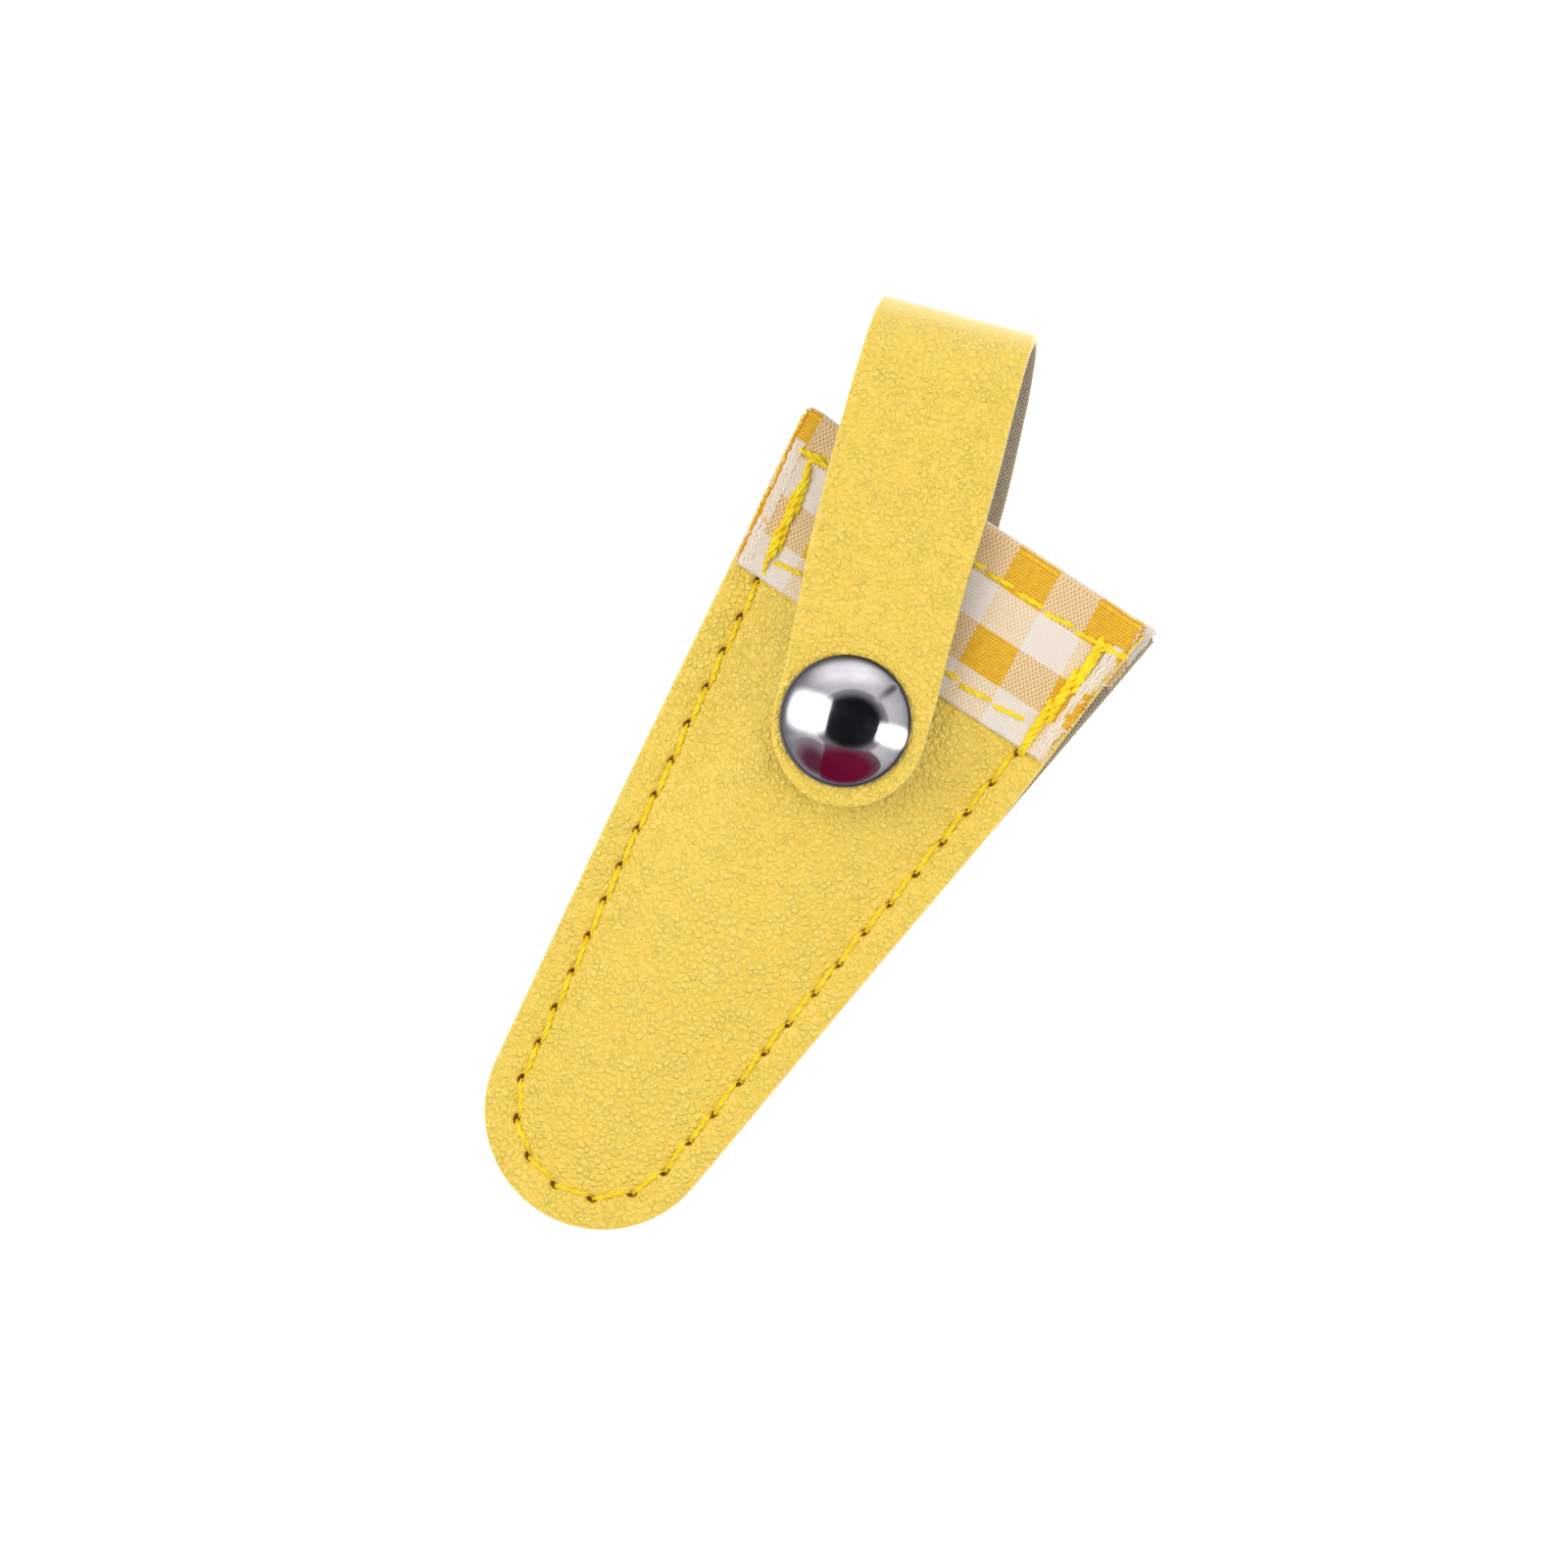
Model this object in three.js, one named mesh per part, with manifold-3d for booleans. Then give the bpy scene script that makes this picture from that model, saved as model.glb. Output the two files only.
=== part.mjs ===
// Sheath for thread snips: a tapered leather pouch with a gingham cuff on each mouth edge and a strap
// that is riveted to the back, loops over the mouth and closes on the front with a ring snap.
// Units are millimetres. The sheath lies on its back: +Z points out of the front, +Y from the tip to
// the loop. Shapes are worked out with the origin at the middle of the mouth, on the resting plane.
import * as THREE from 'three';
import { mergeVertices } from 'three/addons/utils/BufferGeometryUtils.js';
import Module from 'manifold-3d';

const wasm = await Module();
wasm.setup();

const DEGREE = Math.PI / 180;

// Pouch outline
const MOUTH_HALF_WIDTH = 19.75;
const TAPER = 7.235 * DEGREE;
const TIP_RADIUS = 11.25;
const TIP_CENTRE_Y = (TIP_RADIUS / Math.cos(TAPER) - MOUTH_HALF_WIDTH) / Math.tan(TAPER);
const TIP_Y = TIP_CENTRE_Y - TIP_RADIUS;
const FRONT_TRIM = 0.9;
const FRONT_TRIM_LENGTH = 25;

// Pouch thickness
const LEATHER = 1.0;
const CAVITY = 5.4;
const TIP_CAVITY = 3.2;
const CAVITY_TAPER_FROM_Y = -38;
const CAVITY_TAPER_LENGTH = 28;
const PANEL_GAP = 0.05;
const CUFF_GAP = 0.65;
const CUFF_GAP_FROM_Y = -12;
const CUFF_GAP_LENGTH = 4;
const MARGIN = 4.6;
const CROWN_RAMP = 6.8;
const SAG_FROM_Y = -34;

// Cuffs and threads
const FABRIC = 0.35;
const SKIN_GAP = 0.05;
const THREAD_WIDTH = 0.7;
const THREAD = 0.2;
const SEAM_INSET = 3.1;
const SEAM_LIFT = 0.1;
const STITCH_PITCH = 3.5;
const MOUTH_SEAM_Y = -3.1;
const HEM_SEAM_Y = -13.1;

// Strap
const STRAP_WIDTH = 15.2;
const STRAP = 1.1;
const STRAP_END_CENTRE_Y = -0.4;
const STRAP_REACH = 39.8;
const STRAP_SKEW = 18 * DEGREE;
const LINK_GAP = 0.4;
const LINK_TURN = 45 * DEGREE;
const SNAP_Y = -22;

// Ring snap and rear rivet
const CAP_RADIUS = 6.25;
const CAP_HEIGHT = 2.4;
const SOCKET_RADIUS = 6.0;
const SNAP_STACK = 2.9;
const POST_RADIUS = 1.5;
const HOLE_RADIUS = 1.65;
const RIVET_RADIUS = 4.25;
const RIVET_HEIGHT = 0.75;
const ROUND_SEGMENTS = 24;
const CAP_SHEET = 0.4;
const CAP_RIM = 0.5;
const CAP_LIP = 0.8;
const CAP_LIP_HEIGHT = 0.25;
const CAP_STEPS = 7;
const CAP_FLANGE_RADIUS = 5.2;
const CAP_FLANGE = 0.3;
const FLARE_RADIUS = 2.2;
const FLARE_EDGE = 0.2;
const BORE_RADIUS = 2.95;
const SOCKET_CHAMFER = 0.5;
const SOCKET_PLATFORM = 0.28;
const GROOVE_RADIUS = 3.45;
const GROOVE_HALF_HEIGHT = 0.42;
const SPRING_RADIUS = 2.72;
const SPRING_WIRE = 0.7;
const SPRING_MOUTH = 30 * DEGREE;
const STUD_RADIUS = 5.4;
const STUD_FLANGE = 0.5;
const STUD_NECK = 2.0;
const STUD_HEAD = 2.42;
const EYELET_RADIUS = 4.4;
const EYELET_SHEET = 0.4;
const EYELET_BORE = 1.1;
const RIVET_SOCKET_DEPTH = 0.4;
const RIVET_CHAMFER = 0.5;
const RIVET_HEAD_RADIUS = 3.6;
const RIVET_HEAD = 0.5;

// Levels of the stack at the snap, from the resting plane up
const REAR_LEG_BOTTOM = RIVET_HEIGHT + 0.05;
const REAR_LEG_TOP = REAR_LEG_BOTTOM + STRAP;
const BACK_FACE = REAR_LEG_TOP + 0.05 + THREAD + SEAM_LIFT + SKIN_GAP + FABRIC + SKIN_GAP;
const BACK_INNER = BACK_FACE + LEATHER;
const FRONT_INNER = BACK_INNER + CAVITY;
const FRONT_FACE = FRONT_INNER + LEATHER;
const SEAM_PLANE = BACK_INNER + CAVITY / 2;
const TIP_LIFT = THREAD + SEAM_LIFT + SKIN_GAP + 0.02;
const TIP_SEAM_PLANE = TIP_LIFT + LEATHER + PANEL_GAP;
const STRAP_BOTTOM = FRONT_FACE + SNAP_STACK;
const STRAP_TOP = STRAP_BOTTOM + STRAP;
const CAP_BOTTOM = STRAP_TOP + 0.05;
const FLARE_BOTTOM = FRONT_FACE + 2.28;
const SPRING_LEVEL = FRONT_FACE + 1.3;
const SOCKET_BOTTOM = FRONT_FACE + 0.78;
const SOCKET_TOP = STRAP_BOTTOM - 0.03;
const PLATFORM_BOTTOM = SOCKET_TOP - SOCKET_PLATFORM;
const STUD_BOTTOM = FRONT_FACE + SKIN_GAP;
const STUD_NECK_TOP = FRONT_FACE + 1.35;
const STUD_WIDEST = FRONT_FACE + 1.75;
const STUD_TOP = FRONT_FACE + 2.15;
const EYELET_TOP = FRONT_INNER - SKIN_GAP;
const RIVET_SOCKET_FLOOR = RIVET_HEIGHT - RIVET_SOCKET_DEPTH;
const RIVET_HEAD_BOTTOM = BACK_INNER + SKIN_GAP;

// The panels' grid. Cuffs and threads share its lines, so that thin layers lie flat on each other.
const COLUMNS = 12;
const ROWS = 22;
const SIDE_END_X = TIP_RADIUS * Math.cos(TAPER);
const SIDE_END_Y = TIP_CENTRE_Y - TIP_RADIUS * Math.sin(TAPER);
const ROW = -SIDE_END_Y / ROWS;

// Cuffs and seams, in rows of that grid
const CUFF_TRIM = 0.4;
const FLAP_ROWS = 5;
const RETURN_ROWS = 2;
const FOLD_STEPS = 6;
const CUFF_HEIGHT = FLAP_ROWS * ROW;
const MOUTH_SEAM_END = 0.8;
const HEM_SEAM_END = SEAM_INSET + 1.0;
const HEM_BOBBIN_END = MARGIN + 2.0;

// Lengths of the strap's links, which go round from the rear leg to the front leg, and of its legs
const LINK_LENGTH = (STRAP_BOTTOM - REAR_LEG_BOTTOM) / (1 + 2 * Math.sin(LINK_TURN));
const LEG_LENGTH = STRAP_REACH - STRAP / 2 - LINK_LENGTH * Math.cos(LINK_TURN);

const leather = { color: 0xf0c948, roughness: 0.55, metalness: 0 };
const gingham = { color: 0xe3b96a, roughness: 0.9, metalness: 0 };
const thread = { color: 0xf5d21e, roughness: 0.6, metalness: 0 };
const chrome = { color: 0xd8d8da, roughness: 0.12, metalness: 1 };
const brass = { color: 0xb89a5a, roughness: 0.35, metalness: 1 };
const steel = { color: 0xa8a8a8, roughness: 0.3, metalness: 1 };

const pouch = new THREE.Group();
const strap = new THREE.Group();
strap.position.set(0, SNAP_Y, 0);
strap.rotation.z = STRAP_SKEW;

function add(parent, name, geometry, look) {
  const mesh = new THREE.Mesh(geometry, new THREE.MeshStandardMaterial(look));
  mesh.name = name;
  parent.add(mesh);
  return mesh;
}

function smooth(t) {
  return THREE.MathUtils.smoothstep(t, 0, 1);
}

// ---- Pouch surfaces -------------------------------------------------------------------------------

function halfWidth(y) {
  return MOUTH_HALF_WIDTH + y * Math.tan(TAPER);
}

// Distance inwards from the side edges and the round tip
function edgeDistance(x, y) {
  const below = TIP_CENTRE_Y - Math.abs(x) * Math.tan(TAPER);
  if (y < below) {
    return TIP_RADIUS - Math.hypot(x, y - TIP_CENTRE_Y);
  }
  return (halfWidth(y) - Math.abs(x)) * Math.cos(TAPER);
}

function seamPlane(y) {
  const rise = smooth((y - TIP_Y) / (SAG_FROM_Y - TIP_Y));
  return TIP_SEAM_PLANE + (SEAM_PLANE - TIP_SEAM_PLANE) * rise;
}

// Half of the hollow between the panels: closed at the sewn edges, crowned in the middle
function halfHollow(x, y) {
  const sewn = PANEL_GAP + CUFF_GAP * smooth((y - CUFF_GAP_FROM_Y) / CUFF_GAP_LENGTH);
  const narrowing = smooth((CAVITY_TAPER_FROM_Y - y) / CAVITY_TAPER_LENGTH);
  const full = (CAVITY + (TIP_CAVITY - CAVITY) * narrowing) / 2;
  return sewn + (full - sewn) * smooth((edgeDistance(x, y) - MARGIN) / CROWN_RAMP);
}

// Middle of the leather's thickness, on the front (side 1) or the back (side -1). The back is pressed
// flat where it would sink to the resting plane, with room left for its thread.
function panelMiddle(x, y, side) {
  const middle = seamPlane(y) + side * (halfHollow(x, y) + LEATHER / 2);
  return Math.max(middle, TIP_LIFT + LEATHER / 2);
}

// A closed slab: a gridded box whose points are moved by place(u, v, w, point), with u from -1 to 1,
// v from 0 to 1 and w from 0 to 1
function slab(columns, rows, place) {
  const box = new THREE.BoxGeometry(2, 1, 1, columns, rows, 1);
  box.deleteAttribute('normal');
  box.deleteAttribute('uv');
  const geometry = mergeVertices(box);
  const position = geometry.attributes.position;
  const point = new THREE.Vector3();
  for (let i = 0; i < position.count; i += 1) {
    place(position.getX(i), position.getY(i) + 0.5, position.getZ(i) + 0.5, point);
    position.setXYZ(i, point.x, point.y, point.z);
  }
  return geometry;
}

// The x of a lengthwise grid line. The front is cut back at its right edge near the mouth, so that the
// back shows beside it.
function gridX(u, y, side) {
  const trim = side > 0 && u > 0 ? FRONT_TRIM * smooth(1 + y / FRONT_TRIM_LENGTH) : 0;
  return u * (halfWidth(y) - trim);
}

// A panel's rows are straight at the mouth (v = 1) and bow into the tip's arc (v = 0)
function panelGeometry(side) {
  return slab(COLUMNS, ROWS, (u, v, w, point) => {
    const across = u * side;
    const rowY = SIDE_END_Y * (1 - v);
    const turn = across * (Math.PI / 2 - TAPER);
    const bow = (1 - v) ** 3;
    const x = gridX(across, rowY, side) + bow * (TIP_RADIUS * Math.sin(turn) - across * SIDE_END_X);
    const y = rowY + bow * (TIP_CENTRE_Y - TIP_RADIUS * Math.cos(turn) - SIDE_END_Y);
    point.set(x, y, panelMiddle(x, y, side) + side * (w - 0.5) * LEATHER);
  });
}

// ---- Solids ---------------------------------------------------------------------------------------

function toManifold(geometry) {
  const plain = geometry.clone();
  plain.deleteAttribute('normal');
  plain.deleteAttribute('uv');
  const merged = mergeVertices(plain);
  return new wasm.Manifold(new wasm.Mesh({
    numProp: 3,
    vertProperties: new Float32Array(merged.attributes.position.array),
    triVerts: new Uint32Array(merged.index.array),
  }));
}

function cut(geometry, tool) {
  const result = toManifold(geometry).subtract(toManifold(tool)).getMesh();
  const output = new THREE.BufferGeometry();
  output.setAttribute('position', new THREE.BufferAttribute(result.vertProperties, 3));
  output.setIndex(new THREE.BufferAttribute(result.triVerts, 1));
  return output;
}

function punch(x, y, radius) {
  const tool = new THREE.CylinderGeometry(radius, radius, 40, ROUND_SEGMENTS);
  tool.rotateX(Math.PI / 2);
  tool.translate(x, y, 0);
  return tool;
}

// A turned piece about +Z. The profile is a list of [radius, height], from low to high outside.
function turned(profile) {
  const points = profile.map(([radius, height]) => new THREE.Vector2(radius, height));
  const geometry = new THREE.LatheGeometry(points, ROUND_SEGMENTS);
  geometry.rotateX(Math.PI / 2);
  return geometry;
}

// ---- Panels ---------------------------------------------------------------------------------------

add(pouch, 'front_panel', cut(panelGeometry(1), punch(0, SNAP_Y, HOLE_RADIUS)), leather);
add(pouch, 'back_panel', cut(panelGeometry(-1), punch(0, SNAP_Y, HOLE_RADIUS)), leather);

// ---- Cuffs: a strip folded over the mouth edge of each panel ----------------------------------------

// Keeps the sign of x and limits its size
function limited(x, limit) {
  return Math.sign(x) * Math.min(Math.abs(x), limit);
}

// The slab's u runs along the fold and its v across, so that its quads split along the same diagonals
// as those of the panel beneath
function cuffGeometry(side) {
  const rows = FLAP_ROWS + FOLD_STEPS + RETURN_ROWS;
  return slab(rows, COLUMNS, (u, v, w, point) => {
    const across = side * (1 - 2 * v);
    const step = Math.round((u + 1) / 2 * rows);
    const foldStep = THREE.MathUtils.clamp(step - FLAP_ROWS, 0, FOLD_STEPS);
    const turn = Math.PI * foldStep / FOLD_STEPS;
    const y = ROW * (Math.min(step - FLAP_ROWS, 0) + Math.min(FLAP_ROWS + FOLD_STEPS - step, 0));
    const edge = Math.abs(gridX(Math.sign(across), y, side)) - CUFF_TRIM;
    const x = limited(gridX(across, y, side), edge);
    const offset = LEATHER / 2 + SKIN_GAP + w * FABRIC;
    point.x = x;
    point.y = y + SKIN_GAP + offset * Math.sin(turn);
    point.z = panelMiddle(x, y, side) + side * offset * Math.cos(turn);
  });
}

add(pouch, 'front_cuff', cuffGeometry(1), gingham);
add(pouch, 'back_cuff', cuffGeometry(-1), gingham);

// ---- Threads: each seam's needle thread on the outside and bobbin thread on the other face ----------

// Level of a thread's middle above the leather's middle, with or without one layer of cuff between
function threadOffset(onCuff, lift) {
  return LEATHER / 2 + SKIN_GAP + onCuff * (FABRIC + SKIN_GAP) + lift + THREAD / 2;
}

// The thread around the pouch, from the mouth seam down the left, round the tip and up the right
function perimeterThread(side) {
  const inset = SEAM_INSET;
  const top = MOUTH_SEAM_Y - THREAD_WIDTH;
  const sideLength = (top - TIP_CENTRE_Y) / Math.cos(TAPER);
  const bendRadius = TIP_RADIUS - inset;
  const bendLength = bendRadius * (Math.PI - 2 * TAPER);
  const total = 2 * sideLength + bendLength;
  const steps = Math.round(total / STITCH_PITCH);
  return slab(1, steps, (u, v, w, point) => {
    const radius = bendRadius + side * u * THREAD_WIDTH / 2;
    const along = v * total;
    let x = 0;
    let y = 0;
    if (along < sideLength || along > sideLength + bendLength) {
      const left = along < sideLength;
      const fromBend = left ? sideLength - along : along - sideLength - bendLength;
      x = radius * Math.cos(TAPER) + fromBend * Math.sin(TAPER);
      y = TIP_CENTRE_Y - radius * Math.sin(TAPER) + fromBend * Math.cos(TAPER);
      x *= left ? -1 : 1;
    } else {
      const turn = (along - sideLength) / bendRadius + TAPER - Math.PI / 2;
      x = radius * Math.sin(turn);
      y = TIP_CENTRE_Y - radius * Math.cos(turn);
    }
    const onCuff = smooth((y + CUFF_HEIGHT + 2) / 2);
    const offset = threadOffset(onCuff, SEAM_LIFT) + (w - 0.5) * THREAD;
    point.set(x, y, panelMiddle(x, y, side) + side * offset);
  });
}

// A thread across the pouch on one face (face 1 outside, -1 inside) of the front or back panel
function crossThread(side, face, seamY, endInset, onCuff, lift) {
  const columns = 2 * Math.ceil(COLUMNS / 2 * (1 - endInset / halfWidth(seamY)));
  return slab(columns, 1, (u, v, w, point) => {
    const line = u * side * face * columns / COLUMNS;
    const y = seamY + (v - 0.5) * THREAD_WIDTH;
    const edge = Math.abs(gridX(Math.sign(line), y, side)) - endInset;
    const x = limited(gridX(line, y, side), edge);
    const offset = threadOffset(onCuff, lift) + (w - 0.5) * THREAD;
    point.set(x, y, panelMiddle(x, y, side) + side * face * offset);
  });
}

add(pouch, 'side_seam_needle_thread', perimeterThread(1), thread);
add(pouch, 'side_seam_bobbin_thread', perimeterThread(-1), thread);
for (const [panel, side] of [['front', 1], ['back', -1]]) {
  const mouthNeedle = crossThread(side, 1, MOUTH_SEAM_Y, MOUTH_SEAM_END, 1, 0);
  const mouthBobbin = crossThread(side, -1, MOUTH_SEAM_Y, MOUTH_SEAM_END, 1, 0);
  const hemNeedle = crossThread(side, 1, HEM_SEAM_Y, HEM_SEAM_END, 1, SEAM_LIFT);
  const hemBobbin = crossThread(side, -1, HEM_SEAM_Y, HEM_BOBBIN_END, 0, SEAM_LIFT);
  add(pouch, `${panel}_mouth_needle_thread`, mouthNeedle, thread);
  add(pouch, `${panel}_mouth_bobbin_thread`, mouthBobbin, thread);
  add(pouch, `${panel}_hem_needle_thread`, hemNeedle, thread);
  add(pouch, `${panel}_hem_bobbin_thread`, hemBobbin, thread);
}

// ---- Strap: one strip in life, divided at its bend lines ---------------------------------------------

function legGeometry() {
  const half = STRAP_WIDTH / 2;
  const outline = new THREE.Shape();
  outline.moveTo(half, LEG_LENGTH - LINK_GAP);
  outline.lineTo(-half, LEG_LENGTH - LINK_GAP);
  outline.lineTo(-half, STRAP_END_CENTRE_Y);
  outline.absarc(0, STRAP_END_CENTRE_Y, half, Math.PI, 2 * Math.PI, false);
  const hole = new THREE.Path();
  hole.absarc(0, 0, HOLE_RADIUS, 0, 2 * Math.PI, true);
  outline.holes.push(hole);
  return new THREE.ExtrudeGeometry(outline, { depth: STRAP, bevelEnabled: false, curveSegments: 10 });
}

const rearLeg = add(strap, 'strap_rear_leg', legGeometry(), leather);
rearLeg.position.z = REAR_LEG_BOTTOM;
const frontLeg = add(strap, 'strap_front_leg', legGeometry(), leather);
frontLeg.position.z = STRAP_BOTTOM;

// Three links turn the strap round from the rear leg to the front leg
const hingeLine = new THREE.Vector3(0, LEG_LENGTH, REAR_LEG_BOTTOM + STRAP / 2);
for (const number of [1, 2, 3]) {
  const turn = number * LINK_TURN;
  const run = new THREE.Vector3(0, Math.cos(turn), Math.sin(turn)).multiplyScalar(LINK_LENGTH);
  const block = new THREE.BoxGeometry(STRAP_WIDTH, LINK_LENGTH - 2 * LINK_GAP, STRAP);
  const link = add(strap, `strap_loop_${number}`, block, leather);
  link.position.copy(hingeLine).addScaledVector(run, 0.5);
  link.rotation.x = turn;
  hingeLine.add(run);
}

// ---- Ring snap: cap, post, socket and spring on the strap; stud and eyelet on the front panel --------

// Height of the cap's dome at a radius, from its rim up
function domeHeight(radius, edge, height) {
  const ball = (edge * edge + height * height) / (2 * height);
  return height - ball + Math.sqrt(ball * ball - radius * radius);
}

function capProfile() {
  const bottom = CAP_BOTTOM;
  const innerRadius = CAP_RADIUS - CAP_SHEET;
  const dome = CAP_HEIGHT - CAP_RIM;
  const profile = [[CAP_RADIUS - CAP_LIP, bottom], [CAP_RADIUS - 0.15, bottom], [CAP_RADIUS, bottom + 0.2]];
  for (let i = 0; i <= CAP_STEPS; i += 1) {
    const radius = CAP_RADIUS * (1 - i / CAP_STEPS);
    profile.push([radius, bottom + CAP_RIM + domeHeight(radius, CAP_RADIUS, dome)]);
  }
  for (let i = CAP_STEPS; i >= 0; i -= 1) {
    const radius = innerRadius * (1 - i / CAP_STEPS);
    profile.push([radius, bottom + CAP_RIM + domeHeight(radius, innerRadius, dome - CAP_SHEET)]);
  }
  profile.push([innerRadius, bottom + CAP_LIP_HEIGHT]);
  profile.push([CAP_RADIUS - CAP_LIP, bottom + CAP_LIP_HEIGHT]);
  profile.push(profile[0]);
  return profile;
}

add(strap, 'snap_cap', turned(capProfile()), chrome);

add(strap, 'snap_cap_post', turned([
  [0, FLARE_BOTTOM],
  [FLARE_RADIUS, FLARE_BOTTOM],
  [FLARE_RADIUS, FLARE_BOTTOM + FLARE_EDGE],
  [POST_RADIUS, FLARE_BOTTOM + FLARE_EDGE + 0.1],
  [POST_RADIUS, CAP_BOTTOM],
  [CAP_FLANGE_RADIUS, CAP_BOTTOM],
  [CAP_FLANGE_RADIUS, CAP_BOTTOM + CAP_FLANGE],
  [0, CAP_BOTTOM + CAP_FLANGE],
]), brass);

add(strap, 'snap_socket', turned([
  [BORE_RADIUS, SOCKET_BOTTOM],
  [SOCKET_RADIUS - SOCKET_CHAMFER, SOCKET_BOTTOM],
  [SOCKET_RADIUS, SOCKET_BOTTOM + SOCKET_CHAMFER],
  [SOCKET_RADIUS, SOCKET_TOP],
  [HOLE_RADIUS, SOCKET_TOP],
  [HOLE_RADIUS, PLATFORM_BOTTOM],
  [BORE_RADIUS, PLATFORM_BOTTOM],
  [BORE_RADIUS, SPRING_LEVEL + GROOVE_HALF_HEIGHT],
  [GROOVE_RADIUS, SPRING_LEVEL + GROOVE_HALF_HEIGHT],
  [GROOVE_RADIUS, SPRING_LEVEL - GROOVE_HALF_HEIGHT],
  [BORE_RADIUS, SPRING_LEVEL - GROOVE_HALF_HEIGHT],
  [BORE_RADIUS, SOCKET_BOTTOM],
]), chrome);

class OpenRing extends THREE.Curve {
  getPoint(t, target = new THREE.Vector3()) {
    const turn = SPRING_MOUTH / 2 + (2 * Math.PI - SPRING_MOUTH) * t;
    return target.set(SPRING_RADIUS * Math.cos(turn), SPRING_RADIUS * Math.sin(turn), SPRING_LEVEL);
  }
}

const wireSection = new THREE.Shape();
wireSection.absarc(0, 0, SPRING_WIRE / 2, 0, 2 * Math.PI, false);
add(strap, 'snap_socket_spring', new THREE.ExtrudeGeometry(wireSection, {
  steps: 20,
  curveSegments: 4,
  extrudePath: new OpenRing(),
}), steel);

const stud = add(pouch, 'snap_stud', turned([
  [HOLE_RADIUS, STUD_BOTTOM],
  [STUD_RADIUS, STUD_BOTTOM],
  [STUD_RADIUS, STUD_BOTTOM + 0.3],
  [STUD_RADIUS - 0.4, STUD_BOTTOM + STUD_FLANGE],
  [STUD_NECK, STUD_BOTTOM + STUD_FLANGE],
  [STUD_NECK, STUD_NECK_TOP],
  [STUD_HEAD, STUD_WIDEST],
  [STUD_HEAD - 0.1, STUD_WIDEST + 0.2],
  [STUD_NECK - 0.1, STUD_TOP],
  [HOLE_RADIUS, STUD_TOP],
  [HOLE_RADIUS, STUD_BOTTOM],
]), chrome);
stud.position.y = SNAP_Y;

const eyelet = add(pouch, 'snap_stud_eyelet', turned([
  [EYELET_BORE, EYELET_TOP - EYELET_SHEET],
  [EYELET_RADIUS, EYELET_TOP - EYELET_SHEET],
  [EYELET_RADIUS, EYELET_TOP],
  [POST_RADIUS, EYELET_TOP],
  [POST_RADIUS, STUD_TOP - 0.05],
  [EYELET_BORE, STUD_TOP - 0.05],
  [EYELET_BORE, EYELET_TOP - EYELET_SHEET],
]), brass);
eyelet.position.y = SNAP_Y;

// ---- Rear rivet: a flat cap outside and a headed post from inside -------------------------------------

const rivetCap = add(pouch, 'rear_rivet_cap', turned([
  [0, 0],
  [RIVET_RADIUS - RIVET_CHAMFER, 0],
  [RIVET_RADIUS - 0.1, 0.2],
  [RIVET_RADIUS, 0.45],
  [RIVET_RADIUS, RIVET_HEIGHT],
  [HOLE_RADIUS, RIVET_HEIGHT],
  [HOLE_RADIUS, RIVET_SOCKET_FLOOR],
  [0, RIVET_SOCKET_FLOOR],
]), chrome);
rivetCap.position.y = SNAP_Y;

const rivetPost = add(pouch, 'rear_rivet_post', turned([
  [0, RIVET_SOCKET_FLOOR + 0.1],
  [POST_RADIUS, RIVET_SOCKET_FLOOR + 0.1],
  [POST_RADIUS, RIVET_HEAD_BOTTOM],
  [RIVET_HEAD_RADIUS, RIVET_HEAD_BOTTOM],
  [RIVET_HEAD_RADIUS - 0.3, RIVET_HEAD_BOTTOM + RIVET_HEAD],
  [0, RIVET_HEAD_BOTTOM + RIVET_HEAD],
]), chrome);
rivetPost.position.y = SNAP_Y;

// ---- The whole sheath, with its origin under the middle of its box ------------------------------------

const sheath = new THREE.Group();
sheath.add(pouch, strap);
const bounds = new THREE.Box3().setFromObject(sheath, true);
const centre = bounds.getCenter(new THREE.Vector3());
sheath.position.set(-centre.x, -centre.y, -bounds.min.z);

export default sheath;
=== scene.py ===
"""Looks of the thread snips sheath: grained leather, gingham cuffs, sewn threads and a ring snap.

Lengths are in millimetres until a mesh is made. Shapes are worked out with the origin at the middle of
the mouth, as the model's own source does, and place() moves them into the frame.
"""
import math
import random

import bmesh
import bpy
import numpy as np
from mathutils import Matrix, Vector, noise
from mathutils.kdtree import KDTree


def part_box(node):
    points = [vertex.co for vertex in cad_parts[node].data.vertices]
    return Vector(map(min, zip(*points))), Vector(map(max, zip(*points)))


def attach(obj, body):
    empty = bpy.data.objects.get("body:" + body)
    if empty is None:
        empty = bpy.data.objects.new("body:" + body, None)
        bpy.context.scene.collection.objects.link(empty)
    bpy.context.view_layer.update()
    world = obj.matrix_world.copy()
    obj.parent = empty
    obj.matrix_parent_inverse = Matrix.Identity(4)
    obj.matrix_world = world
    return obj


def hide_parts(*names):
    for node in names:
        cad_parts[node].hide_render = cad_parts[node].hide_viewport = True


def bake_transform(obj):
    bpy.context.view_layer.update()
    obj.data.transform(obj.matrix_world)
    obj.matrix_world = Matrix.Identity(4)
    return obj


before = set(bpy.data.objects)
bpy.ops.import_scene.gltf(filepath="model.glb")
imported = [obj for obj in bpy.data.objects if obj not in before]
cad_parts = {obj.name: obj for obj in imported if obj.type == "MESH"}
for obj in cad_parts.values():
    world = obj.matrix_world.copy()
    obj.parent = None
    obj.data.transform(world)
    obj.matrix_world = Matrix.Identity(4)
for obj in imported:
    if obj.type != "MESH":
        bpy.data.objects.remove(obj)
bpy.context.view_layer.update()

MM = 0.001
TAU = 2 * math.pi

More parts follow.
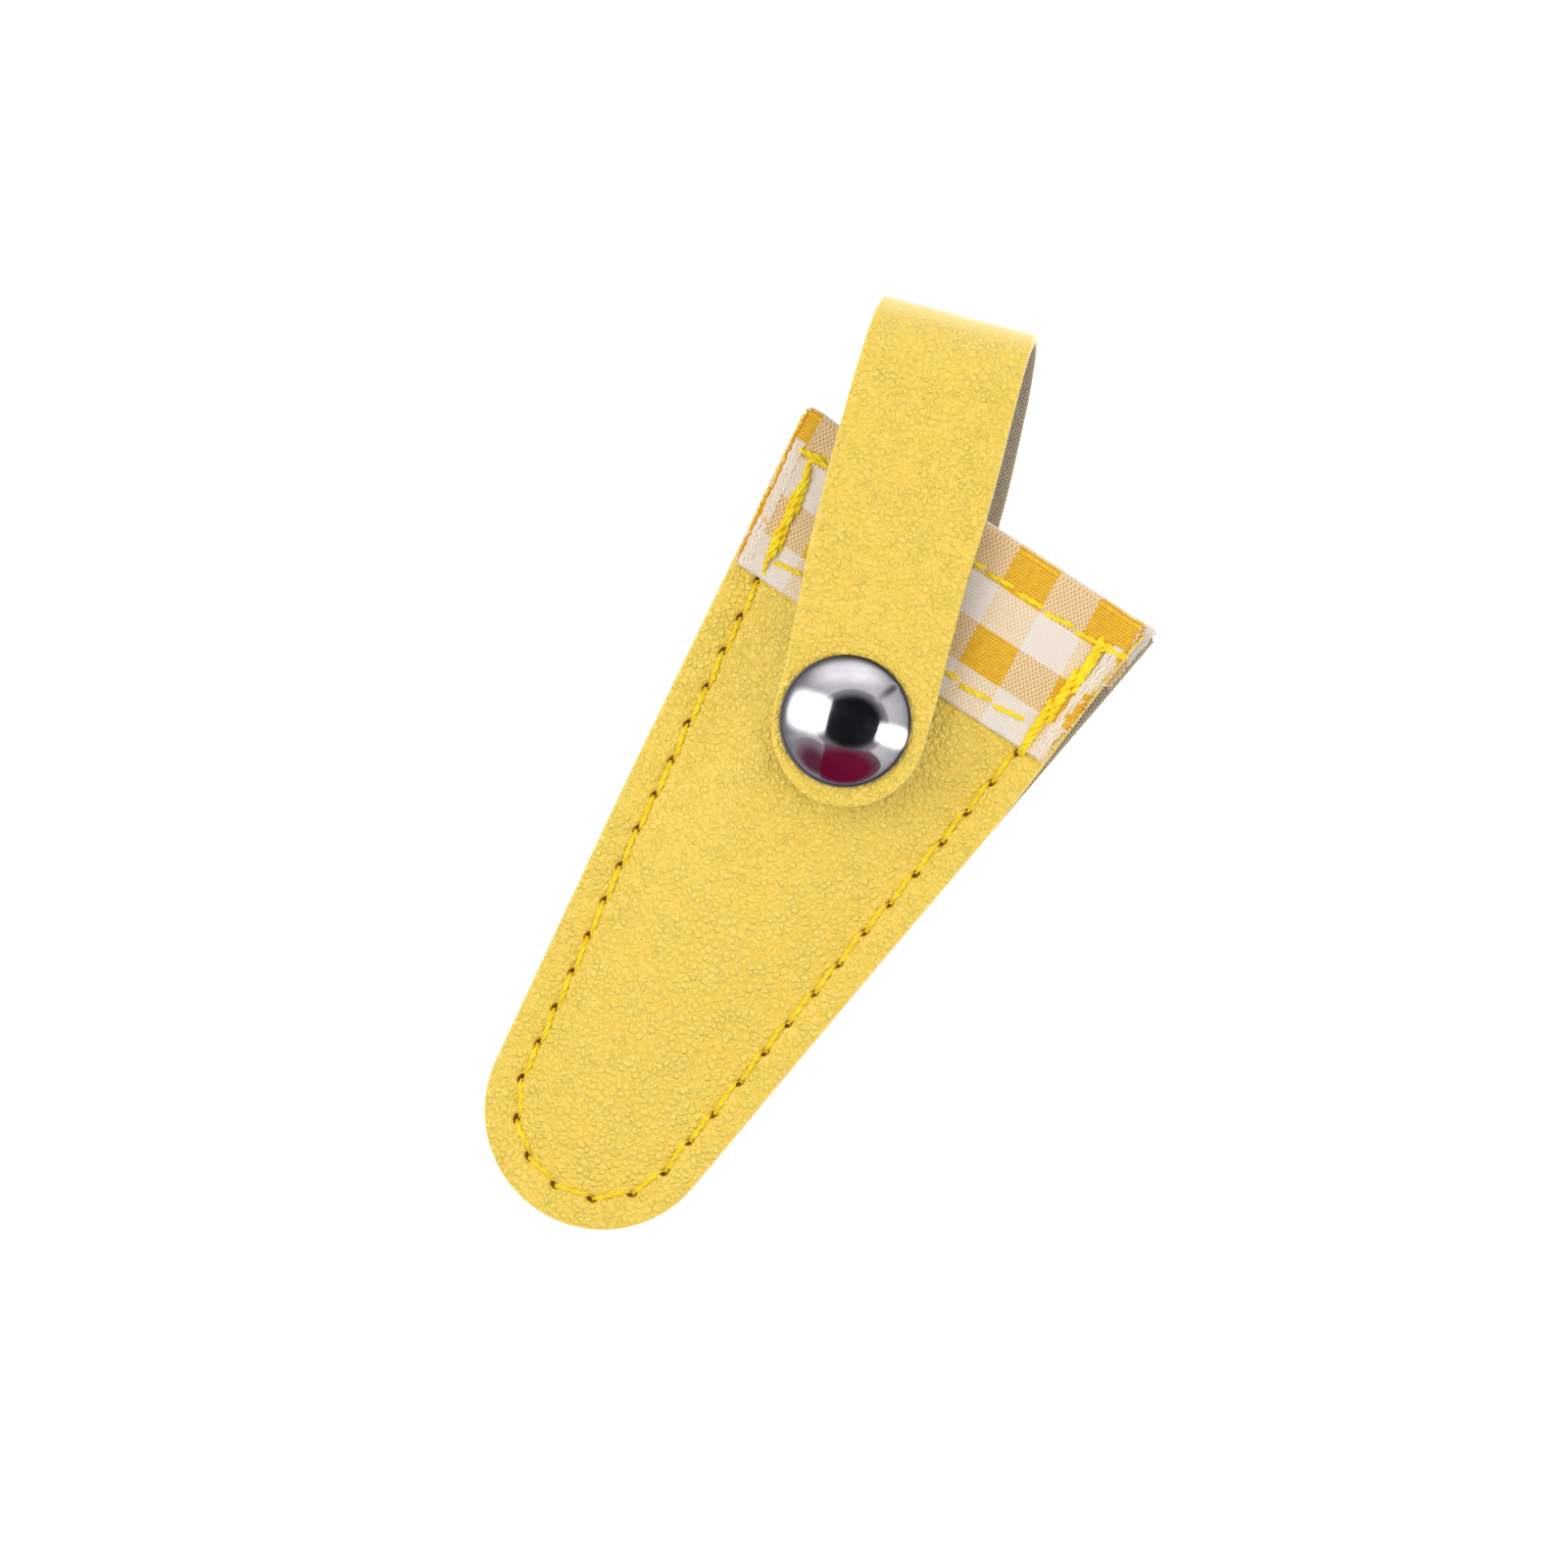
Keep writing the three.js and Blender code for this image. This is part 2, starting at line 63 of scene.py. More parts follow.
# Pouch outline, as in the model
MOUTH_HALF_WIDTH = 19.75
TAPER = math.radians(7.235)
TIP_RADIUS = 11.25
TIP_CENTRE_Y = (TIP_RADIUS / math.cos(TAPER) - MOUTH_HALF_WIDTH) / math.tan(TAPER)
TIP_Y = TIP_CENTRE_Y - TIP_RADIUS
SIDE_END_Y = TIP_CENTRE_Y - TIP_RADIUS * math.sin(TAPER)
FRONT_TRIM = 0.9
FRONT_TRIM_LENGTH = 25.0

# Pouch thickness. The hollow is crowned more gently than in the model, and is thinner at the tip.
LEATHER = 1.0
CAVITY = 5.4
TIP_CAVITY = 2.4
CAVITY_TAPER_FROM_Y = -30
CAVITY_TAPER_LENGTH = 34
SAG_FROM_Y = -34
PANEL_GAP = 0.05
CUFF_GAP = 0.65
CUFF_GAP_FROM_Y = -12
CUFF_GAP_LENGTH = 4
MARGIN = 3.9
CROWN_RAMP = 8.2
FABRIC = 0.35
SKIN_GAP = 0.05
THREAD = 0.2
SEAM_LIFT = 0.1
TIP_LIFT = THREAD + SEAM_LIFT + SKIN_GAP + 0.02
TIP_SEAM_PLANE = TIP_LIFT + LEATHER + PANEL_GAP

# Seams and cuffs
SEAM_INSET = 3.1
STITCH_PITCH = 3.5
SIDE_STITCH_PITCH = 3.75
MOUTH_SEAM_Y = -3.1
MOUTH_SEAM_INSET = 2.3
HEM_SEAM_Y = -13.1
HEM_SEAM_INSET = SEAM_INSET + 0.5
HEM_BOBBIN_INSET = 6.0
SIDE_SEAM_TOP = MOUTH_SEAM_Y - 0.4
CUFF_HEIGHT = 15.38
CUFF_RETURN = 6.15

# Places read from the frame
MOUTH_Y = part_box("front_panel")[1][1] / MM
SNAP_Y = (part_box("snap_stud")[0][1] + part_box("snap_stud")[1][1]) / 2 / MM - MOUTH_Y
FRONT_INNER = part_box("front_panel")[1][2] / MM - LEATHER
REAR_LEG_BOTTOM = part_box("strap_rear_leg")[0][2] / MM
STRAP_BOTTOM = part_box("strap_front_leg")[0][2] / MM
SEAM_PLANE = FRONT_INNER - CAVITY / 2
FRONT_FACE = FRONT_INNER + LEATHER
BACK_INNER = FRONT_INNER - CAVITY

# Strap: one strip that follows a round bend, where the model has links
STRAP_WIDTH = 15.2
CREST_WIDTH = 15.0
END_HALF_WIDTH = 7.3
STRAP = 1.1
STRAP_TOP = STRAP_BOTTOM + STRAP
STRAP_REACH = 39.8
STRAP_SKEW = math.radians(18)
STRAP_END_CENTRE_Y = -0.4
BEND_RADIUS = (STRAP_BOTTOM - REAR_LEG_BOTTOM) / 2
BEND_CENTRE_Y = STRAP_REACH - STRAP / 2 - BEND_RADIUS
BEND_CENTRE_Z = (STRAP_BOTTOM + REAR_LEG_BOTTOM + STRAP) / 2
HALF_BEND = BEND_RADIUS * math.pi / 2
LEG_END = HALF_BEND + BEND_CENTRE_Y - STRAP_END_CENTRE_Y


def place(points):
    """Points from the mouth's origin to the frame, in metres."""
    return (np.asarray(points, float) + (0, MOUTH_Y, 0)) * MM


def smooth(t):
    t = np.clip(t, 0, 1)
    return t * t * (3 - 2 * t)


def bump(x, width):
    """A soft hill of height 1 at x = 0."""
    return np.exp(-((x / width) ** 2))


def ripple(x, y, size, seed=0.0):
    """Smooth noise from about -1 to 1, with features of that size."""
    flat = [noise.noise(Vector((a / size, b / size, seed))) for a, b in zip(np.ravel(x), np.ravel(y))]
    return np.array(flat).reshape(np.shape(x))


# ---- Pouch surfaces ----

def half_width(y):
    return MOUTH_HALF_WIDTH + y * math.tan(TAPER)


def edge_distance(x, y):
    """Distance inwards from the side edges and the round tip."""
    side = (half_width(y) - np.abs(x)) * math.cos(TAPER)
    tip = TIP_RADIUS - np.hypot(x, y - TIP_CENTRE_Y)
    return np.where(y < TIP_CENTRE_Y - np.abs(x) * math.tan(TAPER), tip, side)


def seam_plane(y):
    return TIP_SEAM_PLANE + (SEAM_PLANE - TIP_SEAM_PLANE) * smooth((y - TIP_Y) / (SAG_FROM_Y - TIP_Y))


def half_hollow(x, y):
    """Half of the hollow between the panels: closed at the sewn edges, crowned in the middle."""
    sewn = PANEL_GAP + CUFF_GAP * smooth((y - CUFF_GAP_FROM_Y) / CUFF_GAP_LENGTH)
    narrowing = smooth((CAVITY_TAPER_FROM_Y - y) / CAVITY_TAPER_LENGTH)
    full = (CAVITY + (TIP_CAVITY - CAVITY) * narrowing) / 2
    rise = np.clip((edge_distance(x, y) - MARGIN) / CROWN_RAMP, 0, 1)
    return sewn + (full - sewn) * (0.55 * np.sin(rise * math.pi / 2) + 0.45 * smooth(rise))


def panel_middle(x, y, side):
    """Middle of a panel's leather, on the front (side 1) or the back (side -1), which the floor presses."""
    middle = seam_plane(y) + side * (half_hollow(x, y) + LEATHER / 2)
    floor = TIP_LIFT + LEATHER / 2
    soft = 0.15
    return np.where(middle > floor + soft, middle, floor + soft * np.exp((middle - floor) / soft - 1))


def front_trim(y):
    """How far the front is cut back at its right edge, near the mouth."""
    return FRONT_TRIM * smooth(1 + y / FRONT_TRIM_LENGTH)


# ---- Stitches: where the needle went through ----

def side_seam_point(along):
    """A point of the side seam and its direction. along runs from the top left, round the tip."""
    radius = TIP_RADIUS - SEAM_INSET
    straight = (SIDE_SEAM_TOP - TIP_CENTRE_Y) / math.cos(TAPER)
    bend = radius * (math.pi - 2 * TAPER)
    if straight <= along <= straight + bend:
        turn = (along - straight) / radius + TAPER - math.pi / 2
        at = (radius * math.sin(turn), TIP_CENTRE_Y - radius * math.cos(turn))
        return at, (math.cos(turn), math.sin(turn))
    left = along < straight
    run = straight - along if left else along - straight - bend
    x = radius * math.cos(TAPER) + run * math.sin(TAPER)
    y = TIP_CENTRE_Y - radius * math.sin(TAPER) + run * math.cos(TAPER)
    if left:
        return (-x, y), (math.sin(TAPER), -math.cos(TAPER))
    return (x, y), (math.sin(TAPER), math.cos(TAPER))


SIDE_SEAM_LENGTH = (
    2 * (SIDE_SEAM_TOP - TIP_CENTRE_Y) / math.cos(TAPER)
    + (TIP_RADIUS - SEAM_INSET) * (math.pi - 2 * TAPER)
)
SIDE_STITCHES = round(SIDE_SEAM_LENGTH / SIDE_STITCH_PITCH)


def side_seam_holes():
    rng = random.Random(11)
    holes = []
    for i in range(SIDE_STITCHES + 1):
        wander = 0.12 if 0 < i < SIDE_STITCHES else 0
        along = SIDE_SEAM_LENGTH * i / SIDE_STITCHES + rng.uniform(-wander, wander)
        at, way = side_seam_point(along)
        off = rng.uniform(-0.08, 0.08)
        holes.append(((at[0] - way[1] * off, at[1] + way[0] * off), way))
    return holes


def cross_seam_holes(y, end_inset, seed, trimmed):
    rng = random.Random(seed)
    left = -(half_width(y) - end_inset)
    right = half_width(y) - end_inset - (FRONT_TRIM * 0.8 if trimmed else 0)
    count = round((right - left) / STITCH_PITCH)
    holes = []
    for i in range(count + 1):
        wander = 0.15 if 0 < i < count else 0
        x = left + (right - left) * i / count + rng.uniform(-wander, wander)
        holes.append(((x, y + rng.uniform(-0.1, 0.1)), (1.0, 0.0)))
    return holes


SIDE_HOLES = side_seam_holes()
MOUTH_HOLES, HEM_HOLES = {}, {}
for side in (1, -1):
    MOUTH_HOLES[side] = cross_seam_holes(MOUTH_SEAM_Y, MOUTH_SEAM_INSET, 21 + side, side > 0)
    HEM_HOLES[side] = cross_seam_holes(HEM_SEAM_Y, HEM_SEAM_INSET, 31 + side, side > 0)

# A needle hole lies a little beside its seam, slanted, in a dimple
HOLE_OFFSET = 0.16
HOLE_SLANT = 0.45
HOLE_LENGTH = 0.5
HOLE_WIDTH = 0.33
DIMPLE_RADIUS = 0.95
DIMPLE_END = 2.2


def pits(x, y, holes):
    """How deep each point is in a needle hole, from 0 to 1, and in the dimple pulled in around it."""
    tree = KDTree(len(holes))
    for i, (at, _) in enumerate(holes):
        tree.insert((at[0], at[1], 0), i)
    tree.balance()
    hole = np.zeros(np.shape(x))
    dimple = np.zeros(np.shape(x))
    for index in np.ndindex(np.shape(x)):
        at, i, distance = tree.find((x[index], y[index], 0))
        if distance < DIMPLE_END:
            way = holes[i][1]
            dx, dy = x[index] - at[0], y[index] - at[1]
            along = dx * way[0] + dy * way[1]
            across = dy * way[0] - dx * way[1] + HOLE_OFFSET
            along += HOLE_SLANT * across
            hole[index] = math.exp(-(((along / HOLE_LENGTH) ** 2 + (across / HOLE_WIDTH) ** 2) ** 2))
            dimple[index] = math.exp(-((distance / DIMPLE_RADIUS) ** 2))
    return hole, dimple


# ---- Mesh helpers ----

def grid_faces(rows, columns, start=0, closed=False, flip=False):
    """Quads of a grid of rows x columns points. closed joins the last column to the first."""
    faces = []
    for r in range(rows - 1):
        for c in range(columns if closed else columns - 1):
            a = start + r * columns + c
            b = start + r * columns + (c + 1) % columns
            quad = (a, b, b + columns, a + columns)
            faces.append(quad[::-1] if flip else quad)
    return faces


def make_piece(name, points, faces, material, body, nodes=(), attributes=None, blend=None):
    """A mesh in the frame, with its attributes, material and body. points are already in metres."""
    mesh = bpy.data.meshes.new(name)
    mesh.from_pydata([tuple(p) for p in points], [], faces)
    for key, values in (attributes or {}).items():
        values = np.asarray(values, np.float32)
        kind = "FLOAT_VECTOR" if values.ndim == 2 else "FLOAT"
        layer = mesh.attributes.new(key, kind, "POINT")
        layer.data.foreach_set("vector" if values.ndim == 2 else "value", values.ravel())
    mesh.validate()
    mesh.polygons.foreach_set("use_smooth", [True] * len(mesh.polygons))
    mesh.materials.append(material)
    piece = bpy.data.objects.new(name, mesh)
    bpy.context.scene.collection.objects.link(piece)
    weld(piece)
    if blend:
        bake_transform(piece)
    else:
        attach(piece, body)
    if nodes:
        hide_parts(*nodes)
    return piece


def weld(piece):
    """Joins points that lie on each other, once and for all."""
    mesh = bmesh.new()
    mesh.from_mesh(piece.data)
    bmesh.ops.remove_doubles(mesh, verts=mesh.verts, dist=2e-6)
    bmesh.ops.dissolve_degenerate(mesh, dist=1e-7, edges=mesh.edges)
    bmesh.ops.recalc_face_normals(mesh, faces=mesh.faces)
    mesh.to_mesh(piece.data)
    mesh.free()


# ---- Leather panels ----

INSETS = (0, 0.1, 0.22, 0.36, 0.6, 0.95, 1.4, 1.85, 2.15, 2.4, 2.6, 2.76, 2.93, 3.1, 3.27, 3.44, 3.6, 3.8,
          4.05, 4.4, 4.9, 5.5, 6.2)
CORE_COLUMNS = 26
ROW_STEP = 0.24
EDGE_ROUND = 0.36


def panel_grid(trimmed):
    """Places on a panel, in rows from the mouth to the tip, and how far each is from the cut edge."""
    rows = []
    steps = round(-SIDE_END_Y / ROW_STEP)
    for i in range(steps):
        y = SIDE_END_Y * i / steps
        lean = TAPER * float(smooth(1 - (y - SIDE_END_Y) / 22))
        rows.append((half_width(y), y, lean, 1 / math.cos(lean - TAPER)))
    arc = math.pi / 2 - TAPER
    steps = round(arc * TIP_RADIUS / ROW_STEP)
    for i in range(steps + 1):
        turn = arc * (1 - i / steps)
        x, y = TIP_RADIUS * math.sin(turn), TIP_CENTRE_Y - TIP_RADIUS * math.cos(turn)
        rows.append((x, y, math.pi / 2 - turn, 1))
    inset = np.array(INSETS)
    places, from_cut = [], []
    for edge_x, edge_y, lean, stretch in rows:
        trim = front_trim(edge_y) * math.cos(TAPER) if trimmed else 0
        right = inset + trim * (1 - smooth(inset / 2.3))
        right_x = edge_x - right * stretch * math.cos(lean)
        right_y = edge_y + right * stretch * math.sin(lean)
        left_x = -(edge_x - inset * stretch * math.cos(lean))
        left_y = edge_y + inset * stretch * math.sin(lean)
        core = np.linspace(left_x[-1], right_x[-1], CORE_COLUMNS + 2)[1:-1]
        x = np.concatenate([left_x, core, right_x[::-1]])
        y = np.concatenate([left_y, np.full(CORE_COLUMNS, left_y[-1]), right_y[::-1]])
        places.append((x, y))
        from_cut.append(np.concatenate([inset, np.full(CORE_COLUMNS, 9.0), (right - trim)[::-1]]))
    grid = np.array(places)
    return grid[:, 0], grid[:, 1], np.array(from_cut)


def panel_relief(x, y, side):
    """How far the leather's face stands out of its plain shape."""
    inset = edge_distance(x, y)
    hole, dimple = pits(x, y, SIDE_HOLES)
    bare = 1 - smooth((y + CUFF_HEIGHT + 2.2) / 2)
    relief = -0.2 * bump(inset - SEAM_INSET, 0.42) - 0.65 * hole - 0.1 * dimple
    relief += bare * (0.1 * bump(inset - 1.35, 0.95) + 0.06 * bump(inset - 4.9, 1.2))
    relief += bare * 0.09 * ripple(x, y, 7.5, 3.0 + side) * smooth((inset - 3.5) / 5)
    relief += bare * 0.035 * ripple(x, y, 2.4, 7.0 + side)
    return relief


def loop_shell(outer, inner, walls):
    """Rows of closed sections: outer and inner faces joined by walls at both sides."""
    left, right = walls
    return np.concatenate([outer, right, inner[:, ::-1], left[:, ::-1]], axis=1)


def shell_walls(outer, inner, levels, bulge, straight=False):
    """Points down the cut edge at each side, bulging away from the faces, or straight along x."""
    walls = []
    for end, sign in ((0, -1), (-1, 1)):
        top, bottom = outer[:, end], inner[:, end]
        away = outer[:, end] - outer[:, end - 3 * sign]
        away[:, 2] = 0
        away /= np.maximum(np.linalg.norm(away, axis=1), 1e-6)[:, None]
        if straight:
            away = np.array([sign, 0, 0])
        wall = [top + (bottom - top) * level + away * push for level, push in zip(levels, bulge)]
        walls.append(np.stack(wall, axis=1))
    return walls


def shell_depths(rows, columns, levels):
    """Depth attribute of a shell: 0 on its outer face, 1 on its inner face."""
    one = np.concatenate([np.zeros(columns), levels, np.ones(columns), np.array(levels)[::-1]])
    return np.tile(one, rows)


def cap_faces(start, columns, walls):
    """Faces that close one end of a shell."""
    size = 2 * columns + 2 * walls
    inner = start + 2 * columns + walls - 1
    faces = [(start + c, start + c + 1, inner - c - 1, inner - c) for c in range(columns - 1)]
    faces.append(tuple(range(start + columns - 1, start + columns + walls + 1)))
    faces.append((start,) + tuple(range(start + size - 1, start + size - walls - 2, -1)))
    return faces


WALL_LEVELS = (0.2, 0.5, 0.8)
WALL_BULGE = (0.04, 0.05, 0.03)


def make_panel(side, name, node, material):
    x, y, from_cut = panel_grid(side > 0)
    middle = panel_middle(x, y, side)
    edge = np.clip(1 - from_cut / EDGE_ROUND, 0, 1) ** 2
    face = LEATHER / 2 - 0.2 * edge + panel_relief(x, y, side)
    back = -LEATHER / 2 + 0.08 * edge
    outer = np.stack([x, y, middle + side * face], axis=-1)
    inner = np.stack([x, y, middle + side * back], axis=-1)
    walls = shell_walls(outer, inner, WALL_LEVELS, WALL_BULGE)
    shell = loop_shell(outer, inner, walls)
    rows, size = shell.shape[:2]
    points = shell.reshape(-1, 3)
    faces = grid_faces(rows, size, closed=True) + cap_faces(0, x.shape[1], len(WALL_LEVELS))
    hole, dimple = pits(points[:, 0], points[:, 1], SIDE_HOLES)
    attributes = {
        "grain": points * (1, 1, 0),
        "depth": shell_depths(rows, x.shape[1], WALL_LEVELS),
        "hole": hole,
        # wear: grain flattened in the dimples round the needle holes, also used there as painted shade
        "wear": 0.55 * dimple,
    }
    return make_piece(name, place(points), faces, material, "pouch", [node], attributes)


# ---- Gingham cuffs ----

YARN = 0.35
CLOTH_STEP = 0.3
CLOTH_LEAN = 0.083
FOLD_DRAW = 0.55
RAW_EDGE = 0.35


def cuff_path():
    """Steps of the cuff from its hem, over the mouth edge, to its end inside: (kind, y or turn)."""
    steps = [("flap", -CUFF_HEIGHT * (1 - i / 52)) for i in range(52)]
    steps += [("fold", math.pi * i / 16) for i in range(17)]
    steps += [("return", -CUFF_RETURN * (i + 1) / 20) for i in range(20)]
    return steps


def cuff_point(x, step, side, offset):
    """A point of the cuff at x, at that offset from the middle of the leather."""
    kind, value = step
    y = 0.0 if kind == "fold" else value
    turn = value if kind == "fold" else (0.0 if kind == "flap" else math.pi)
    middle = panel_middle(x, np.full(np.shape(x), y), side)
    return np.stack([
        x,
        np.full(np.shape(x), y + SKIN_GAP) + offset * math.sin(turn),
        middle + side * offset * math.cos(turn),
    ], axis=-1)


def cloth_y(step):
    """Distance along the cloth from the middle of the fold, down the flap if negative."""
    kind, value = step
    half_fold = math.pi / 2 * (LEATHER / 2 + 0.3)
    if kind == "fold":
        return (value / math.pi * 2 * FOLD_DRAW - 1) * half_fold
    return value - half_fold if kind == "flap" else (2 * FOLD_DRAW - 1) * half_fold - value


def cuff_relief(x, y, side, folded):
    """Height of the cloth above its plain shape: pulled in at the stitches, soft between them."""
    relief = 0.05 * ripple(x, y, 3.1, 5.0 + side) + 0.02 * ripple(x, y, 1.1, 9.0 + side)
    for holes in (MOUTH_HOLES[side], HEM_HOLES[side], SIDE_HOLES):
        hole, dimple = pits(x, y, holes)
        relief = relief - 0.12 * hole - 0.1 * dimple
    relief -= 0.05 * bump(y - MOUTH_SEAM_Y, 0.6) + 0.05 * bump(y - HEM_SEAM_Y, 0.6)
    inset = edge_distance(x, y)
    relief -= 0.05 * bump(inset - SEAM_INSET, 0.6)
    relief += 0.06 * bump(y + CUFF_HEIGHT, 0.7) + 0.24 * bump(inset - 1.35, 0.8)
    return np.clip(relief, -0.2, 0.3) * (0.4 if folded else 1)


def cuff_edge(y, side, sign, seed):
    """Where the cuff's raw side edge is, wandering a little and stepping from yarn to yarn."""
    trim = front_trim(y) if side > 0 and sign > 0 else 0
    rng = random.Random(seed * 1000 + round(y / YARN))
    wander = 0.14 * noise.noise(Vector((y / 2.3, seed, 0.5)))
    return sign * (half_width(y) - trim - RAW_EDGE + wander + rng.uniform(-0.09, 0.09))


def make_cuff(side, name, node, material):
    steps = cuff_path()
    columns = round(2 * MOUTH_HALF_WIDTH / CLOTH_STEP)
    outer, inner, cloth = [], [], []
    for step in steps:
        kind, value = step
        y = 0.0 if kind == "fold" else value
        left = cuff_edge(y, side, -1, 3)
        right = cuff_edge(y, side, 1, 4)
        x = np.linspace(left, right, columns)
        ys = np.full(columns, y)
        relief = cuff_relief(x, ys, side, kind != "flap")
        base = LEATHER / 2 + SKIN_GAP
        outer.append(cuff_point(x, step, side, base + FABRIC + relief))
        inner.append(cuff_point(x, step, side, base + 0.02 + np.clip(relief, -0.05, 0.1)))
        woven_y = cloth_y(step)
        woven = (x + CLOTH_LEAN * woven_y, np.full(columns, woven_y), np.zeros(columns))
        cloth.append(np.stack(woven, axis=-1))
    outer, inner, cloth = np.array(outer), np.array(inner), np.array(cloth)
    walls = shell_walls(outer, inner, (0.5,), (0.05,))
    shell = loop_shell(outer, inner, walls)
    rows, size = shell.shape[:2]
    points = shell.reshape(-1, 3)
    coordinates = loop_shell(cloth, cloth, [cloth[:, :1], cloth[:, -1:]]).reshape(-1, 3)
    faces = grid_faces(rows, size, closed=True)
    faces += cap_faces(0, columns, 1) + cap_faces((rows - 1) * size, columns, 1)
    attributes = {"cloth": coordinates, "depth": shell_depths(rows, columns, (0.5,))}
    return make_piece(name, place(points), faces, material, "pouch", [node], attributes)


# ---- Loose yarns at the cuffs' raw edges ----

def tube(path, radius, sides=6):
    """Points and faces of a closed thin tube along a path. radius may be one for each point."""
    path = np.asarray(path, float)
    radii = np.broadcast_to(radius, (len(path),))
    ahead = np.gradient(path, axis=0)
    ahead /= np.maximum(np.linalg.norm(ahead, axis=1), 1e-9)[:, None]
    up = np.tile((0.0, 0.0, 1.0), (len(path), 1))
    steep = np.abs(ahead[:, 2]) > 0.9
    up[steep] = (1.0, 0.0, 0.0)
    across = np.cross(ahead, up)
    across /= np.maximum(np.linalg.norm(across, axis=1), 1e-9)[:, None]
    over = np.cross(across, ahead)
    turns = np.arange(sides) * TAU / sides
    cosine, sine = np.cos(turns)[None, :, None], np.sin(turns)[None, :, None]
    rings = path[:, None] + radii[:, None, None] * (cosine * across[:, None] + sine * over[:, None])
    points = rings.reshape(-1, 3)
    faces = grid_faces(len(path), sides, closed=True)
    faces.append(tuple(range(sides))[::-1])
    faces.append(tuple(range(len(points) - sides, len(points))))
    return points, faces


class Bundle:
    """Collects the points, faces and attributes of many small meshes as one."""

    def __init__(self):
        self.points, self.faces, self.values = [], [], {}
        self.count = 0

    def add(self, points, faces, **values):
        self.points.append(points)
        self.faces += [tuple(i + self.count for i in face) for face in faces]
        self.count += len(points)
        for key, value in values.items():
            value = np.full(len(points), value) if np.ndim(value) == 0 else value
            self.values.setdefault(key, []).append(value)

    def piece(self, name, material, body, nodes=(), slot=None):
        values = {key: np.concatenate(parts) for key, parts in self.values.items()}
        points = place(np.concatenate(self.points))
        return make_piece(name, points, self.faces, material, body, nodes, values)


# ---- Stitches ----

PLY_RADIUS = 0.185
PLY_ORBIT = 0.155
PLY_PITCH = 1.9
PLY_SIDES = 7
STITCH_STEP = 0.15


def face_level(x, y, side, face, on_cuff):
    """Height of a panel's outer (face 1) or inner (face -1) side, on its cuff or on the leather."""
    middle = middle_at(x, y, side)
    cloth = FABRIC + SKIN_GAP if on_cuff > 0 else 0
    return middle + side * face * (LEATHER / 2 + cloth * on_cuff)


def add_stitch(bundle, start, end, level, out, rng, lift=0.06, sink=0.8, fat=1.0, slant=0.2, dive=0.62):
    """One stitch between two needle holes: two twisted plies that dive into the holes."""
    (x0, y0), (x1, y1) = start, end
    length = math.hypot(x1 - x0, y1 - y0)
    way = np.array([(x1 - x0) / length, (y1 - y0) / length, 0])
    across = np.array([-way[1], way[0], 0])
    steps = max(10, round(length / STITCH_STEP))
    twist = rng.uniform(0, TAU)
    bow = rng.uniform(-0.05, 0.05)
    middle = []
    for i in range(steps + 1):
        t = i / steps
        from_hole = min(t, 1 - t) * length
        height = lift - (lift + sink) * math.exp(-((from_hole / dive) ** 2))
        x, y = x0 + (x1 - x0) * t, y0 + (y1 - y0) * t
        side_step = slant * (2 * t - 1) + bow * math.sin(math.pi * t)
        z = level(x, y) + out * height
        middle.append(np.array([x, y, z]) + across * side_step)
    middle = np.array(middle)
    up = np.array([0, 0, 1.0])
    for ply in (0, 1):
        path = []
        for i, point in enumerate(middle):
            turn = twist + ply * math.pi + TAU * i / steps * length / PLY_PITCH
            path.append(point + PLY_ORBIT * fat * (math.cos(turn) * across + math.sin(turn) * up))
        points, faces = tube(path, PLY_RADIUS * fat, PLY_SIDES)
        strand = np.repeat(np.arange(steps + 1) * STITCH_STEP, PLY_SIDES) + ply * 3.1
        bundle.add(points, faces, strand=strand)


def seam_piece(name, node, holes, level, out, material, seed, extra=None, **how):
    bundle = Bundle()
    rng = random.Random(seed)
    for (start, _), (end, _) in zip(holes, holes[1:]):
        add_stitch(bundle, start, end, level, out, rng, **how)
    if extra:
        extra(bundle, rng)
    return bundle.piece(name, material, "pouch", [node], "yellow_thread")


# ---- Strap ----

REAR_LEG_DRIFT = 0.5
END_SHIFT = 0.42
LEG_SWELL = 0.34
STRAP_INSETS = (0, 0.08, 0.18, 0.32, 0.55, 0.9, 1.4, 2.0)
STRAP_CORE = 28
STRAP_STEP = 0.32
END_STEPS = 21


def strap_line(along):
    """The strap's middle at a length from its crest, negative on the rear leg: y, z and outward y, z."""
    if abs(along) <= HALF_BEND:
        turn = along / BEND_RADIUS
        across, up = math.cos(turn), math.sin(turn)
        return BEND_CENTRE_Y + BEND_RADIUS * across, BEND_CENTRE_Z + BEND_RADIUS * up, across, up
    sign = 1 if along > 0 else -1
    run = abs(along) - HALF_BEND
    return BEND_CENTRE_Y - run, BEND_CENTRE_Z + sign * BEND_RADIUS, 0.0, float(sign)


def strap_place(points):
    """Points from the strap's own frame, which turns about the snap, to the mouth's origin."""
    points = np.asarray(points, float)
    c, s = math.cos(STRAP_SKEW), math.sin(STRAP_SKEW)
    x, y, z = points[..., 0], points[..., 1], points[..., 2]
    return np.stack([c * x - s * y, s * x + c * y + SNAP_Y, z], axis=-1)


def strap_half_width(along):
    """Half of the strap's width: a little wider in the legs, round at both ends."""
    past = abs(along) - LEG_END
    if past > 0:
        return END_HALF_WIDTH * math.sqrt(max(1 - (past / (STRAP_WIDTH / 2)) ** 2, 0))
    half = END_HALF_WIDTH + (CREST_WIDTH / 2 - END_HALF_WIDTH) * float(smooth(-past / LEG_END * 1.3))
    return half + LEG_SWELL * bump(abs(along) - 20, 13)


def strap_rows(first, last):
    """Lengths along the strap where its sections lie."""
    return list(np.linspace(first, last, max(2, round(abs(last - first) / STRAP_STEP) + 1)))


